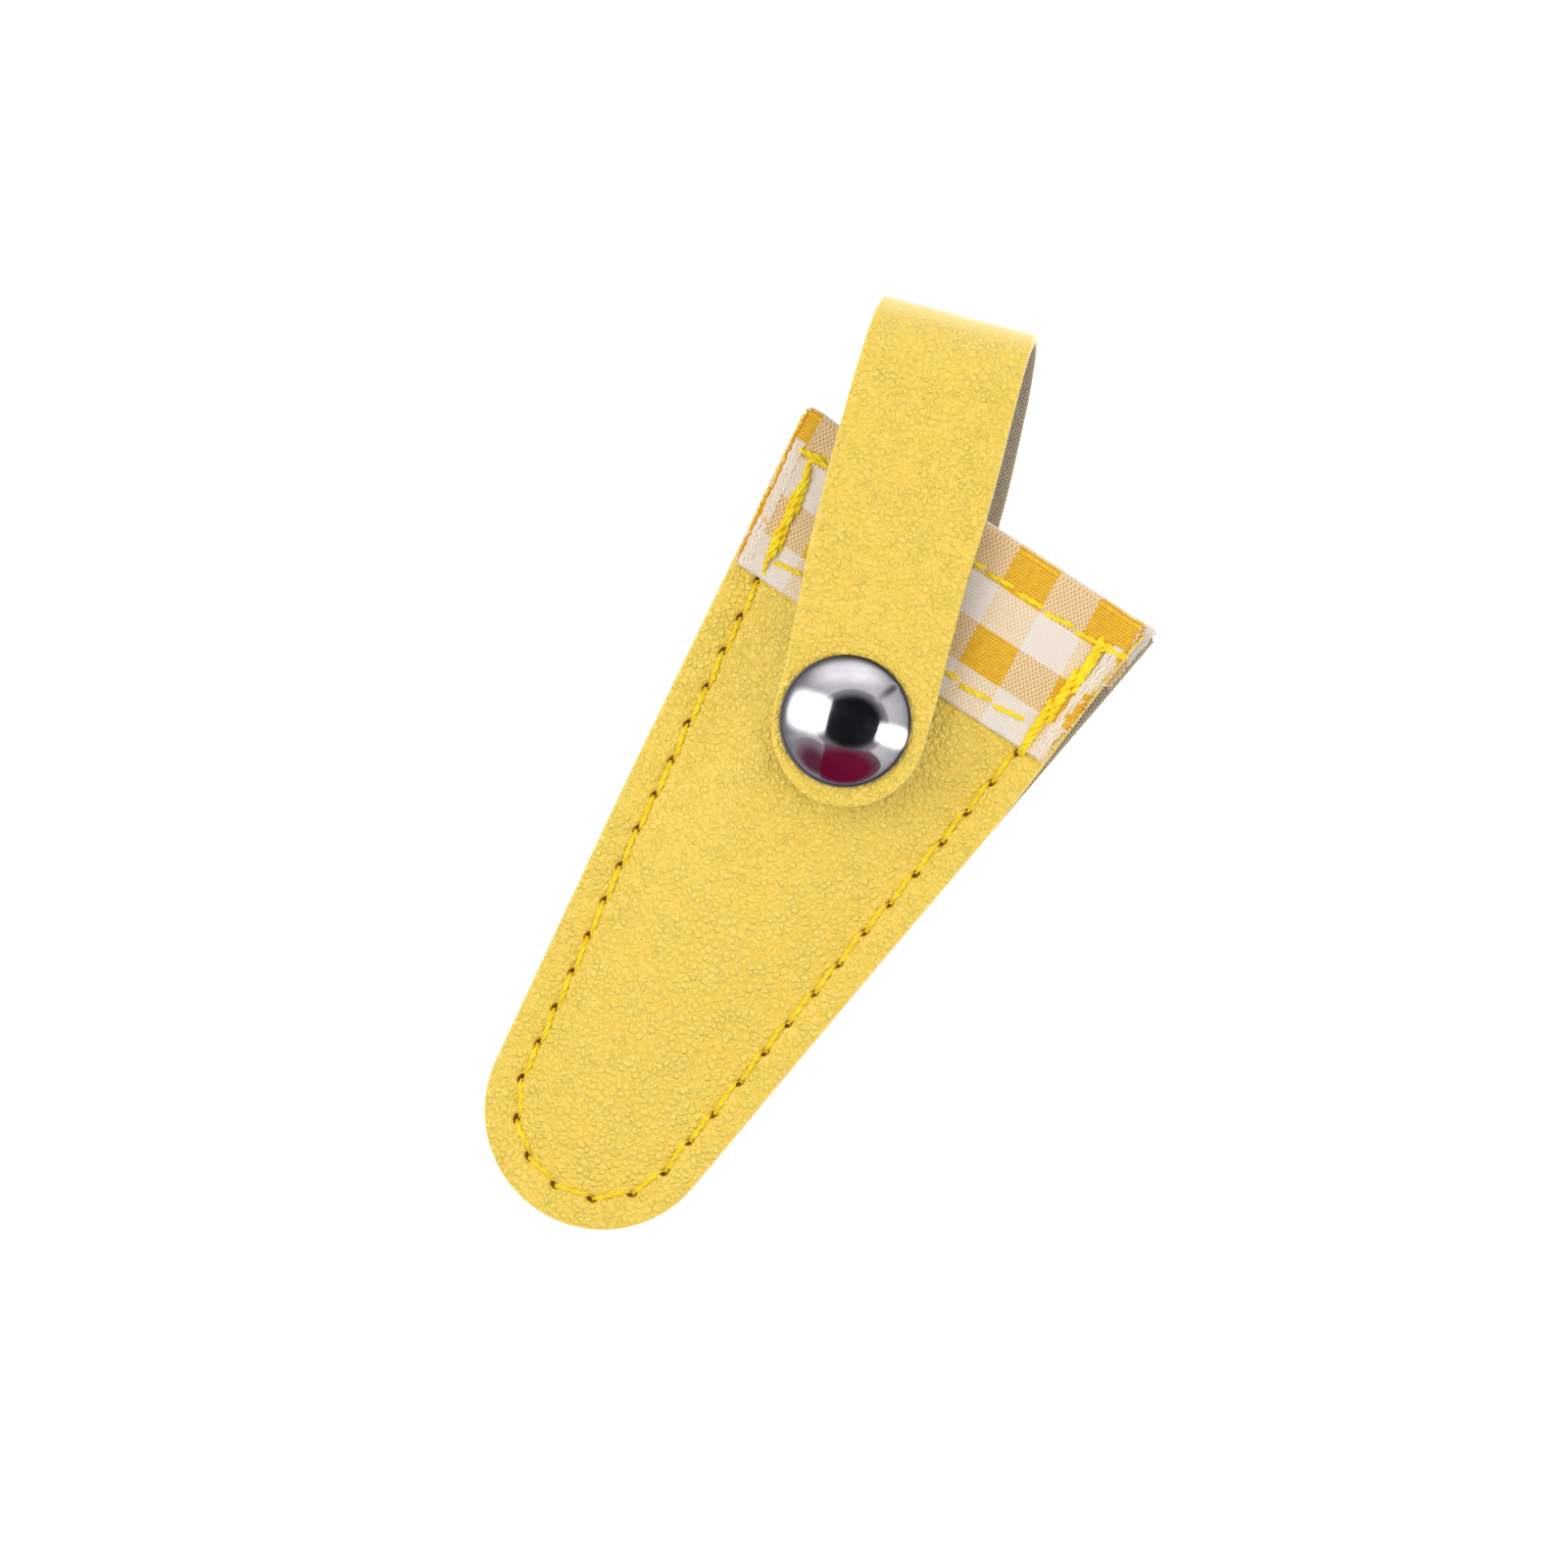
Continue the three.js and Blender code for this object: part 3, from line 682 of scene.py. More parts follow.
def strap_section(along):
    """Outer and inner points of one section in the strap's own frame."""
    y, z, out_y, out_z = strap_line(along)
    half = strap_half_width(along)
    share = half / END_HALF_WIDTH
    inset = np.array(STRAP_INSETS) * min(1.0, max(share, 0.0))
    wander = 0.06 * noise.noise(Vector((along / 5, 1.7, 0)))
    left = -half + inset
    right = half - inset[::-1]
    core = np.linspace(left[-1], right[0], STRAP_CORE + 2)[1:-1]
    x = np.concatenate([left, core, right])
    past = max(abs(along) - LEG_END, 0)
    from_cut = half - np.abs(x)
    if past > 0:
        from_cut = END_HALF_WIDTH * (1 - np.hypot(x / END_HALF_WIDTH, past / (STRAP_WIDTH / 2)))
    edge = np.clip(1 - from_cut / 0.38, 0, 1) ** 2
    snap = np.hypot(x, y)
    face = STRAP / 2 - 0.22 * edge
    if along > HALF_BEND:
        face = face - 0.09 * bump(snap - 6.5, 0.55)
    if along < -HALF_BEND:
        face = face - 0.06 * bump(snap - 4.5, 0.5)
    back = -STRAP / 2 + 0.1 * edge
    drift = REAR_LEG_DRIFT * float(smooth(-along / 20))
    x = x + wander + drift + END_SHIFT * float(smooth((along - 26) / 14))
    crown = 0.05 * ripple(x, np.full(len(x), along), 6.0, 2.0)
    outer = np.stack([x, y + out_y * (face + crown), z + out_z * (face + crown)], axis=-1)
    inner = np.stack([x, y + out_y * back, z + out_z * back], axis=-1)
    return outer, inner


STRAP_LEVELS = (0.22, 0.46, 0.54, 0.8)
STRAP_BULGE = (0.03, 0.0, -0.02, 0.05)


def make_strap_piece(name, first, last, node, material, blend):
    turns = [math.pi / 2 * t for t in np.linspace(0, 1, END_STEPS + 1)]
    start, stop = [], []
    if first < -LEG_END:
        start = [-(LEG_END + STRAP_WIDTH / 2 * math.cos(turn)) for turn in turns[:-1]]
    if last > LEG_END:
        stop = [LEG_END + STRAP_WIDTH / 2 * math.sin(turn) for turn in turns[1:]]
    lengths = start + strap_rows(max(first, -LEG_END), min(last, LEG_END)) + stop
    sections = [strap_section(a) for a in lengths]
    outer = np.array([o for o, _ in sections])
    inner = np.array([i for _, i in sections])
    columns = outer.shape[1]
    walls = shell_walls(outer, inner, STRAP_LEVELS, STRAP_BULGE, straight=True)
    shell = loop_shell(outer, inner, walls)
    rows, size = shell.shape[:2]
    faces = grid_faces(rows, size, closed=True)
    grain = shell.copy()
    for row, along in zip(grain, lengths):
        row[:, 1] = along + 200
        row[:, 2] = 0
    # wear: grain flattened over the bend at the crest, also used there as painted shade
    wear = np.repeat([math.exp(-((a / 4.2) ** 4)) for a in lengths], size)
    points = strap_place(shell.reshape(-1, 3))
    attributes = {
        "grain": grain.reshape(-1, 3),
        "depth": shell_depths(rows, columns, STRAP_LEVELS),
        "hole": np.zeros(len(points)),
        "wear": wear,
    }
    points = place(points)
    return make_piece(name, points, faces, material, None, [node], attributes, blend)


def bend_point(turn):
    """A point of the strap's middle on its bend, in the frame."""
    y, z, _, _ = strap_line(turn * BEND_RADIUS)
    return tuple(place(strap_place([0, y, z])))


# ---- Turned metal ----

def turned_piece(name, profile, centre, material, body, node, segments=96):
    """A turned piece about Z. profile is a list of (radius, height) in mm, closed or from axis to axis."""
    turns = np.arange(segments) * TAU / segments
    rings = []
    for radius, height in profile:
        radius = max(radius, 1e-4)
        ring = (radius * np.cos(turns), radius * np.sin(turns), np.full(segments, height))
        rings.append(np.stack(ring, -1))
    points = np.array(rings).reshape(-1, 3) + (centre[0], centre[1], 0)
    faces = grid_faces(len(profile), segments, closed=True)
    widest = max(radius for radius, _ in profile)
    share = np.repeat([radius / widest for radius, _ in profile], segments)
    make_piece(name, place(points), faces, material, body, [node], {"rim": share})


def rounded(corners, radius=0.08, steps=3):
    """A profile with its corners rounded off."""
    corners = [np.array(c, float) for c in corners]
    line = []
    last = len(corners) - 1
    for i, corner in enumerate(corners):
        if i in (0, last):
            line.append(tuple(corner))
            continue
        before, after = corners[i - 1] - corner, corners[i + 1] - corner
        reach = min(radius, np.linalg.norm(before) / 2.2, np.linalg.norm(after) / 2.2)
        a = corner + before / np.linalg.norm(before) * reach
        b = corner + after / np.linalg.norm(after) * reach
        for s in range(steps + 1):
            t = s / steps
            line.append(tuple((1 - t) ** 2 * a + 2 * t * (1 - t) * corner + t * t * b))
    return line


# ---- Materials ----

def srgb(red, green, blue):
    """A colour given as it looks on a screen, from 0 to 255, as the renderer's linear values."""
    values = []
    for value in (red, green, blue):
        value /= 255
        values.append(value / 12.92 if value <= 0.04045 else ((value + 0.055) / 1.055) ** 2.4)
    return (*values, 1.0)


class Shader:
    """Nodes made with short calls: those of a new material, or of a light's or the world's own tree."""

    def __init__(self, name=None, tree=None):
        if tree is None:
            self.material = bpy.data.materials.new(name)
            self.material.use_nodes = True
            tree = self.material.node_tree
            self.surface = tree.nodes["Principled BSDF"]
        self.tree = tree

    def set(self, node, socket, value):
        if isinstance(value, bpy.types.NodeSocket):
            self.tree.links.new(value, node.inputs[socket])
        else:
            node.inputs[socket].default_value = value

    def look(self, **sockets):
        for socket, value in sockets.items():
            self.set(self.surface, socket.replace("_", " "), value)

    def node(self, kind, output, inputs, **settings):
        """One of a new node's outputs."""
        node = self.tree.nodes.new("ShaderNode" + kind)
        for key, value in settings.items():
            setattr(node, key, value)
        for socket, value in inputs.items():
            self.set(node, socket, value)
        return node.outputs[output]

    def attribute(self, name, output="Fac"):
        return self.node("Attribute", output, {}, attribute_name=name)

    def coordinates(self, kind):
        return self.node("TexCoord", kind, {})

    def math(self, operation, *values):
        return self.node("Math", 0, dict(enumerate(values)), operation=operation)

    def add(self, a, b):
        return self.math("ADD", a, b)

    def times(self, a, b):
        return self.math("MULTIPLY", a, b)

    def ramp(self, value, low, high, start=0.0, end=1.0):
        inputs = {"Value": value, "From Min": low, "From Max": high, "To Min": start, "To Max": end}
        return self.node("MapRange", "Result", inputs, interpolation_type="SMOOTHSTEP")

    def colours(self, share, a, b, kind="MIX"):
        return self.node("Mix", 2, {0: share, 6: a, 7: b}, data_type="RGBA", blend_type=kind)

    def numbers(self, share, a, b):
        return self.node("Mix", 0, {0: share, 2: a, 3: b})

    def noise(self, vector, scale, detail):
        return self.node("TexNoise", "Fac", {"Vector": vector, "Scale": scale, "Detail": detail})

    def cells(self, vector, scale, smoothness):
        """Distance from the middle of rounded cells."""
        inputs = {"Vector": vector, "Scale": scale, "Smoothness": smoothness}
        return self.node("TexVoronoi", "Distance", inputs, feature="SMOOTH_F1")

    def borders(self, vector, scale):
        """Distance from the borders between cells."""
        inputs = {"Vector": vector, "Scale": scale}
        return self.node("TexVoronoi", "Distance", inputs, feature="DISTANCE_TO_EDGE")

    def split(self, vector):
        return [self.node("SeparateXYZ", i, {0: vector}) for i in range(3)]

    def moved(self, vector, by, amount):
        """A vector pushed sideways by a noise of its own, so that a pattern isn't regular."""
        push = self.node("TexNoise", "Color", {"Vector": vector, "Scale": by})
        inputs = {0: push, 1: (amount, amount, 0), 2: vector}
        return self.node("VectorMath", 0, inputs, operation="MULTIPLY_ADD")

    def relief(self, height, depth):
        """Bump of that real depth in millimetres."""
        inputs = {"Strength": 1.0, "Distance": depth * MM, "Height": height}
        self.set(self.surface, "Normal", self.node("Bump", 0, inputs))


PEBBLES = 1.7


def leather_material():
    """Coated leather: pebble grain on the face, a knitted backing, and both layers at a cut edge."""
    s = Shader("coated_leather")
    at = s.attribute("grain", "Vector")
    depth = s.attribute("depth")
    wear = s.attribute("wear")
    hole = s.attribute("hole")
    uneven = s.moved(at, 0.9, 0.2)
    rounded_top = s.ramp(s.cells(uneven, PEBBLES, 0.3), 0.1, 0.75, 1.0, 0.0)
    pebble = s.times(s.add(rounded_top, s.ramp(s.borders(uneven, PEBBLES), 0.0, 0.3)), 0.5)
    small = s.ramp(s.cells(s.moved(at, 1.9, 0.12), 3.0, 0.25), 0.05, 0.6, 1.0, 0.0)
    patches = s.noise(at, 0.3, 1)
    coarse = s.ramp(patches, 0.3, 0.65, 0.75, 1.0)
    height = s.add(s.times(pebble, coarse), s.times(small, 0.35))
    height = s.add(height, s.times(s.noise(at, 5.0, 2), 0.12))
    height = s.times(height, s.ramp(wear, 0.0, 1.0, 1.0, 0.22))
    x, y, _ = s.split(at)
    knit = s.times(s.math("SINE", s.times(x, 12.0)), s.math("SINE", s.times(y, 16.0)))
    knit = s.add(s.times(knit, 0.5), s.noise(at, 5.0, 3))
    inner = s.ramp(depth, 0.6, 0.76)
    fine = s.noise(at, 9.0, 2)
    # Painted shade and highlight: the leather is coloured darker in the creases between pebbles and lighter
    # on their tops.
    grain = s.ramp(s.add(pebble, s.times(small, 0.4)), 0.1, 0.8)
    coat = s.colours(grain, srgb(244, 206, 76), srgb(249, 219, 92))
    coat = s.colours(s.times(s.ramp(patches, 0.3, 0.7), 0.2), coat, srgb(248, 218, 98))
    # The wear mask flattens the grain, which is real; its darker colour is painted shade in the dimples round
    # the needle holes and over the strap's crest.
    coat = s.colours(s.times(wear, 0.5), coat, srgb(236, 204, 92))
    coat = s.colours(s.ramp(depth, 0.04, 0.3), coat, srgb(226, 188, 82))
    # Painted shade: the knit backing is coloured darker where it sinks and lighter on its raised loops.
    knit_with_painted_shade = s.colours(s.ramp(knit, -0.2, 1.2), srgb(172, 158, 134), srgb(216, 206, 184))
    colour = s.colours(inner, coat, knit_with_painted_shade)
    # Painted shadow: the needle holes are coloured dark brown.
    colour = s.colours(s.ramp(hole, 0.22, 0.55), colour, srgb(128, 76, 20))
    rough = s.numbers(inner, s.ramp(fine, 0.3, 0.7, 0.24, 0.31), 0.95)
    s.look(Base_Color=colour, Roughness=rough, Specular_IOR_Level=0.6)
    s.relief(s.numbers(inner, height, knit), 0.19)
    return s.material


GOLD = srgb(252, 208, 66)
CREAM = srgb(248, 238, 226)
CHECK_WIDTH = 4.5
CHECK_HEIGHT = 4.0
COLUMN_START = -0.1
ROW_START = 0.76
WARP_PITCH = 0.22
WEFT_PITCH = 0.3
FAR_CHECKS = 400  # an even number of checks added before each modulo, which keeps its input positive


def gingham_material():
    """Plain woven checks: white and gold yarns both ways, each yarn seen where it passes over."""
    s = Shader("gingham")
    at = s.attribute("cloth", "Vector")
    x, y, _ = s.split(s.moved(at, 0.8, 0.12))
    column = s.times(s.add(x, FAR_CHECKS * CHECK_WIDTH + COLUMN_START), 1 / CHECK_WIDTH)
    column = s.math("MODULO", s.math("FLOOR", column), 2.0)
    row = s.times(s.add(y, FAR_CHECKS * CHECK_HEIGHT + ROW_START), 1 / CHECK_HEIGHT)
    row = s.math("MODULO", s.math("FLOOR", row), 2.0)
    u = s.times(x, 1 / WARP_PITCH)
    v = s.times(y, 1 / WEFT_PITCH)
    parity = s.math("MODULO", s.add(s.add(s.math("FLOOR", u), s.math("FLOOR", v)), 4000.0), 2.0)
    across = s.math("ABSOLUTE", s.math("SINE", s.times(u, math.pi)))
    down = s.math("ABSOLUTE", s.math("SINE", s.times(v, math.pi)))
    weft = s.times(across, s.math("POWER", down, 0.4))
    on_top = s.numbers(parity, weft, s.times(down, s.math("POWER", across, 0.4)))
    gold = s.numbers(parity, column, row)
    uneven = s.noise(at, 1.6, 2)
    warm = s.colours(s.ramp(uneven, 0.3, 0.7), srgb(246, 192, 44), GOLD)
    both = s.times(column, row)
    one = s.math("SUBTRACT", s.math("MAXIMUM", column, row), both)
    ground = s.colours(one, CREAM, s.colours(row, srgb(250, 234, 208), srgb(248, 222, 176)))
    ground = s.colours(both, ground, warm)
    dot = s.times(s.times(gold, one), s.ramp(s.times(s.math("POWER", across, 0.6), down), 0.15, 0.6))
    dot = s.times(dot, s.numbers(row, 0.65, 0.78))
    colour = s.colours(dot, ground, s.colours(row, srgb(234, 190, 104), srgb(212, 156, 72)))
    # Painted shade: the cloth is darkened in the hollows between yarns, where one yarn passes under another.
    gap_shade = s.times(s.ramp(on_top, 0.0, 0.55, 1.0, 0.0), s.numbers(both, 0.22, 0.95))
    colour = s.colours(gap_shade, colour, srgb(200, 130, 48), "MULTIPLY")
    s.look(Base_Color=colour, Roughness=0.9, Specular_IOR_Level=0.15)
    s.look(Sheen_Weight=0.25, Sheen_Roughness=0.5)
    s.relief(s.add(on_top, s.times(s.noise(at, 9.0, 2), 0.3)), 0.06)
    return s.material


def yarn_material():
    """Loose yarns at the raw edges, each white or gold."""
    s = Shader("loose_yarn")
    gold = s.attribute("gold")
    along = s.attribute("strand")
    fuzz = s.noise(s.coordinates("Object"), 5000, 3)
    colour = s.colours(gold, CREAM, srgb(222, 158, 30))
    colour = s.colours(s.ramp(fuzz, 0.35, 0.7, 0.35, 0.0), colour, srgb(222, 196, 160), "MULTIPLY")
    s.look(Base_Color=colour, Roughness=0.95, Specular_IOR_Level=0.1, Sheen_Weight=0.3)
    s.relief(s.add(fuzz, s.math("SINE", s.times(along, 20.0))), 0.02)
    return s.material


def thread_material():
    """Bright yellow sewing thread, with fine fibres along its plies."""
    s = Shader("yellow_thread")
    along = s.attribute("strand")
    at = s.coordinates("Object")
    fibres = s.noise(at, 7000, 2)
    shade = s.noise(at, 900, 1)
    colour = s.colours(s.ramp(shade, 0.3, 0.7), srgb(250, 214, 6), srgb(255, 234, 34))
    s.look(Base_Color=colour, Roughness=0.5, Specular_IOR_Level=0.4, Sheen_Weight=0.15)
    s.relief(s.add(fibres, s.times(s.math("SINE", s.times(along, 9.0)), 0.2)), 0.025)
    return s.material


def metal_material(name, colour, dark, roughness, grain, lip_shade=(0.97, 1.0, 0.6)):
    """Plated or drawn metal, with faint wear, and painted shade darkening the outer rim."""
    s = Shader(name)
    # Painted shade: the outermost ring of the profile is darkened towards brownish grey.
    rim = s.ramp(s.attribute("rim"), lip_shade[0], lip_shade[1], 0.0, lip_shade[2])
    at = s.coordinates("Object")
    wear = s.noise(at, grain, 3)
    plain = s.colours(s.ramp(wear, 0.35, 0.75), dark, colour)
    s.look(
        Base_Color=s.colours(rim, plain, srgb(70, 58, 52)),
        Metallic=1.0,
        Roughness=s.ramp(wear, 0.3, 0.7, roughness, roughness * 1.6),
    )
    s.relief(s.noise(at, grain * 0.4, 1), 0.0015)
    return s.material


def floor_material():
    """Pale and a little bright of itself, so that the surroundings come out white."""
    s = Shader("floor")
    at = s.coordinates("Object")
    colour = s.colours(s.noise(at, 3, 1), srgb(250, 250, 251), srgb(252, 252, 252))
    s.look(Base_Color=colour, Roughness=0.9, Specular_IOR_Level=0.1)
    s.look(Emission_Color=colour, Emission_Strength=0.6)
    return s.material


LEATHER_LOOK = leather_material()
GINGHAM_LOOK = gingham_material()
YARN_LOOK = yarn_material()
THREAD_LOOK = thread_material()
# Where the chrome cap's painted shade at its outer rim starts and ends, and how strong it is.
CHROME_LIP_SHADE = (0.93, 0.985, 0.92)
CHROME_LOOK = metal_material(
    "polished_chrome", srgb(220, 218, 222), srgb(206, 204, 209), 0.06, 400, CHROME_LIP_SHADE)
PLATED_LOOK = metal_material("plated_metal", srgb(205, 205, 208), srgb(178, 178, 184), 0.16, 600)
BRASS_LOOK = metal_material("plain_brass", srgb(206, 172, 104), srgb(170, 136, 80), 0.25, 600)
STEEL_LOOK = metal_material("spring_wire", srgb(196, 198, 202), srgb(150, 152, 158), 0.22, 900)


# ---- The sheath ----

make_panel(1, "front_leather", "front_panel", LEATHER_LOOK)
make_panel(-1, "back_leather", "back_panel", LEATHER_LOOK)


YARN_END_RADII = (0.13, 0.13, 0.12, 0.11, 0.09, 0.05)
RUNNING_INSETS = (0.1, 0.38, 0.64, 0.9, 1.15)
RUNNING_POINTS = 60
RUNNING_RADIUS = 0.15
RUNNING_TOP = 2.4
EDGE_SEEDS = {-1: 3, 1: 4}
CLOTH_BASE = LEATHER / 2 + SKIN_GAP


def middle_at(x, y, side):
    return float(panel_middle(np.array(x), np.array(y), side))


def yarn_end(bundle, rng, side, sign, y):
    """A short end that stands out of the raw edge."""
    row = math.floor((y - 1.26 + ROW_START) / CHECK_HEIGHT) % 2
    reach = rng.uniform(0.02, 0.3) + (0.3 if rng.random() < 0.12 else 0)
    edge = cuff_edge(min(y, 0), side, sign, EDGE_SEEDS[sign])
    level = CLOTH_BASE + rng.uniform(0.1, 0.3)
    drift = rng.uniform(-0.25, 0.25)
    droop = rng.uniform(-0.15, 0.1)
    path = []
    for i in range(6):
        t = i / 5
        x = edge + sign * (reach * t - 0.25 * (1 - t))
        yarn_y = y + drift * t * t
        base = middle_at(edge, min(yarn_y, 0.0), side)
        path.append((x, yarn_y + 0.05, base + side * (level + droop * t)))
    points, faces = tube(path, YARN_END_RADII, 6)
    bundle.add(points, faces, gold=float(row), strand=np.repeat(np.arange(6) * 0.2, 6))


def running_yarn(bundle, side, sign, number, inward):
    """A yarn that runs along the raw edge, as the cross yarns have frayed away."""
    path = []
    for i in range(RUNNING_POINTS):
        t = i / (RUNNING_POINTS - 1)
        y = -CUFF_HEIGHT + t * (CUFF_HEIGHT - (RUNNING_TOP if number else 0)) + 0.1
        edge = cuff_edge(y, side, sign, EDGE_SEEDS[sign]) - sign * inward
        edge += 0.16 * noise.noise(Vector((y / 1.3, number * 7.1, sign * 3.0)))
        lift = CLOTH_BASE + FABRIC + 0.07 * min(number, 2)
        lift += 0.1 * noise.noise(Vector((y / 0.9, 4.0, number)))
        path.append((edge, y + 0.05, middle_at(edge, y, side) + side * lift))
    points, faces = tube(path, RUNNING_RADIUS, 7)
    strand = np.repeat(np.arange(RUNNING_POINTS) * 0.25, 7)
    bundle.add(points, faces, gold=1.0 if number == 0 else 0.0, strand=strand)


def loose_yarns(side, name, material):
    """Short yarn ends that stand out of the cuff's raw side edges, and a few that run along them."""
    bundle = Bundle()
    rng = random.Random(60 + side)
    for sign in (-1, 1):
        y = -CUFF_HEIGHT
        while y < 0.3:
            y += YARN * rng.uniform(0.7, 1.2)
            yarn_end(bundle, rng, side, sign, y)
        for number, inward in enumerate(RUNNING_INSETS):
            running_yarn(bundle, side, sign, number, inward)
    return bundle.piece(name, material, "pouch", (), "gingham")


for panel, side in (("front", 1), ("back", -1)):
    cuff = make_cuff(side, f"{panel}_gingham", f"{panel}_cuff", GINGHAM_LOOK)
    fray = loose_yarns(side, f"{panel}_frayed_yarns", YARN_LOOK)


def on_cuff(y):
    return float(smooth((y + CUFF_HEIGHT + 0.5) / 0.7))


def side_level(side):
    return lambda x, y: face_level(x, y, side, 1, on_cuff(y))


def cross_level(side, face):
    return lambda x, y: face_level(x, y, side, face, 1.0 if face > 0 or y > -CUFF_RETURN else 0.0)


# The stitches knotted at each mouth corner: turn, half length, outward shift, upward shift, height
SIDE_TURN = math.pi / 2 - TAPER
KNOT = (
    (0.06, 1.5, 0.9, 0.12, 0.12),
    (-0.05, 1.1, 0.1, 0.34, 0.2),
    (SIDE_TURN, 1.1, 0.0, -1.5, 0.16),
    (SIDE_TURN, 1.3, -0.25, -2.3, 0.24),
)
# The stitches over each other at the seam's ends: share of a stitch along, sideways shift, height
TACK = ((0.0, 0.26, 0.1), (0.5, -0.26, 0.16), (0.25, 0.0, 0.3))


def back_tack(side):
    """Stitches sewn forwards and back at both ends of the side seam, over the cuff, and a knot above."""
    level = side_level(side)
    thick = {"sink": 0.3, "dive": 0.3, "slant": 0.25}

    def extra(bundle, rng):
        for sign in (-1, 1):
            holes = [at for at, _ in SIDE_HOLES if at[0] * sign > 0 and at[1] > -CUFF_HEIGHT - 2.5]
            holes.sort()
            fat = 1.2 if sign > 0 else 0.95
            for a, b in zip(holes, holes[1:]):
                step = (b[0] - a[0], b[1] - a[1])
                for share, shift, lift in TACK:
                    start = (a[0] + step[0] * share + shift, a[1] + step[1] * share)
                    end = (start[0] + step[0] * 1.08, start[1] + step[1] * 1.08)
                    low, high = sorted((start[1], end[1]))
                    if high < MOUTH_SEAM_Y + 0.9 and low > -CUFF_HEIGHT - 0.5:
                        add_stitch(bundle, start, end, level, side, rng, lift=lift, fat=fat, **thick)
            x, y = sign * (half_width(MOUTH_SEAM_Y) - SEAM_INSET), MOUTH_SEAM_Y
            for turn, reach, out, shift, lift in KNOT:
                dx, dy = reach * math.cos(turn), reach * math.sin(turn)
                start = (x + sign * (out - dx), y - dy + shift)
                end = (x + sign * (out + dx), y + dy + shift)
                add_stitch(bundle, start, end, level, side, rng, lift=lift, **thick)
    return extra


for side, kind in ((1, "needle"), (-1, "bobbin")):
    seam_piece(f"side_{kind}_stitches", f"side_seam_{kind}_thread", SIDE_HOLES, side_level(side), side,
               THREAD_LOOK, 71 + side, back_tack(side) if side > 0 else None, fat=0.76,
               lift=-0.02 if side > 0 else -0.1)
for panel, side in (("front", 1), ("back", -1)):
    lift = 0.05 if side > 0 else -0.1
    for kind, face in (("needle", 1), ("bobbin", -1)):
        for seam, holes in (("mouth", MOUTH_HOLES[side]), ("hem", HEM_HOLES[side])):
            used = holes
            if seam == "hem" and face < 0:
                used = [h for h in holes if half_width(HEM_SEAM_Y) - abs(h[0][0]) > HEM_BOBBIN_INSET]
            how = {"lift": lift if face > 0 else -0.1, "fat": 0.8, "dive": 0.36, "sink": 0.55}
            seam_piece(f"{panel}_{seam}_{kind}_stitches", f"{panel}_{seam}_{kind}_thread", used,
                       cross_level(side, face), side * face, THREAD_LOOK, 80 + face + 3 * side, None, **how)

# The strap is one strip, divided where its bodies meet, half-way between its bend lines
MID = math.pi / 4 * BEND_RADIUS
STRAP_END = LEG_END + STRAP_WIDTH / 2
QUARTER = math.pi / 4
strap_parts = (
    ("strap_rear", -STRAP_END, -MID, "strap_rear_leg", "strap_base", "strap_link_1", -2, -1),
    ("strap_loop_lower", -MID, 0.0, "strap_loop_1", "strap_link_1", "strap_link_2", -1, 0),
    ("strap_loop_upper", 0.0, MID, "strap_loop_2", "strap_link_2", "strap_link_3", 0, 1),
    ("strap_front", MID, STRAP_END, "strap_front_leg", "strap_link_3", "flap", 1, 2),
)
for name, first, last, node, body_a, body_b, start, end in strap_parts:
    ends = (bend_point(start * QUARTER), bend_point(end * QUARTER))
    part = make_strap_piece(name, first, last, node, LEATHER_LOOK, (body_a, body_b, *ends))
    if name == "strap_loop_upper":
        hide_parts("strap_loop_3")

# Ring snap and rivet: the model's own profiles, turned finely and with rounded corners
SNAP = (0.0, SNAP_Y)
POST = 1.5
HOLE = 1.65
CAP_RADIUS = 6.25
CAP_INNER_RADIUS = 5.85
CAP_LIP_RADIUS = 5.45
CAP_BOTTOM = STRAP_TOP + 0.05
CAP_LIP = CAP_BOTTOM + 0.25
CAP_EDGE = CAP_BOTTOM + 0.36
CAP_DOME = 1.9
CAP_INNER_DOME = 1.5
CAP_SHOULDER = 0.14
CAP_SHOULDER_LENGTH = 0.22
CAP_STEPS = 40
FLARE = FRONT_FACE + 2.28
SPRING_LEVEL = FRONT_FACE + 1.3
SPRING_RADIUS = 2.72
SPRING_WIRE_RADIUS = 0.35
SOCKET_RADIUS = 6.0
SOCKET_BORE = 2.95
SOCKET_GROOVE = 3.45
SOCKET_BOTTOM = FRONT_FACE + 0.78
SOCKET_TOP = STRAP_BOTTOM - 0.03
PLATFORM = SOCKET_TOP - 0.28
GROOVE_HALF = 0.42
STUD_RADIUS = 5.4
STUD_NECK = 2.0
STUD_HEAD = 2.42
STUD_BOTTOM = FRONT_FACE + 0.05
STUD_TOP = FRONT_FACE + 2.15
EYELET_TOP = FRONT_INNER - 0.05
EYELET_BOTTOM = EYELET_TOP - 0.4
EYELET_RADIUS = 4.4
EYELET_BORE = 1.1
EYELET_END = FRONT_FACE + 2.1
RIVET_RADIUS = 4.25
RIVET_TOP = 0.75
RIVET_FLOOR = 0.35
HEAD = BACK_INNER + 0.05
HEAD_RADIUS = 3.6


def dome(radius, edge, height):
    ball = (edge * edge + height * height) / (2 * height)
    return height - ball + math.sqrt(max(ball * ball - radius * radius, 0))


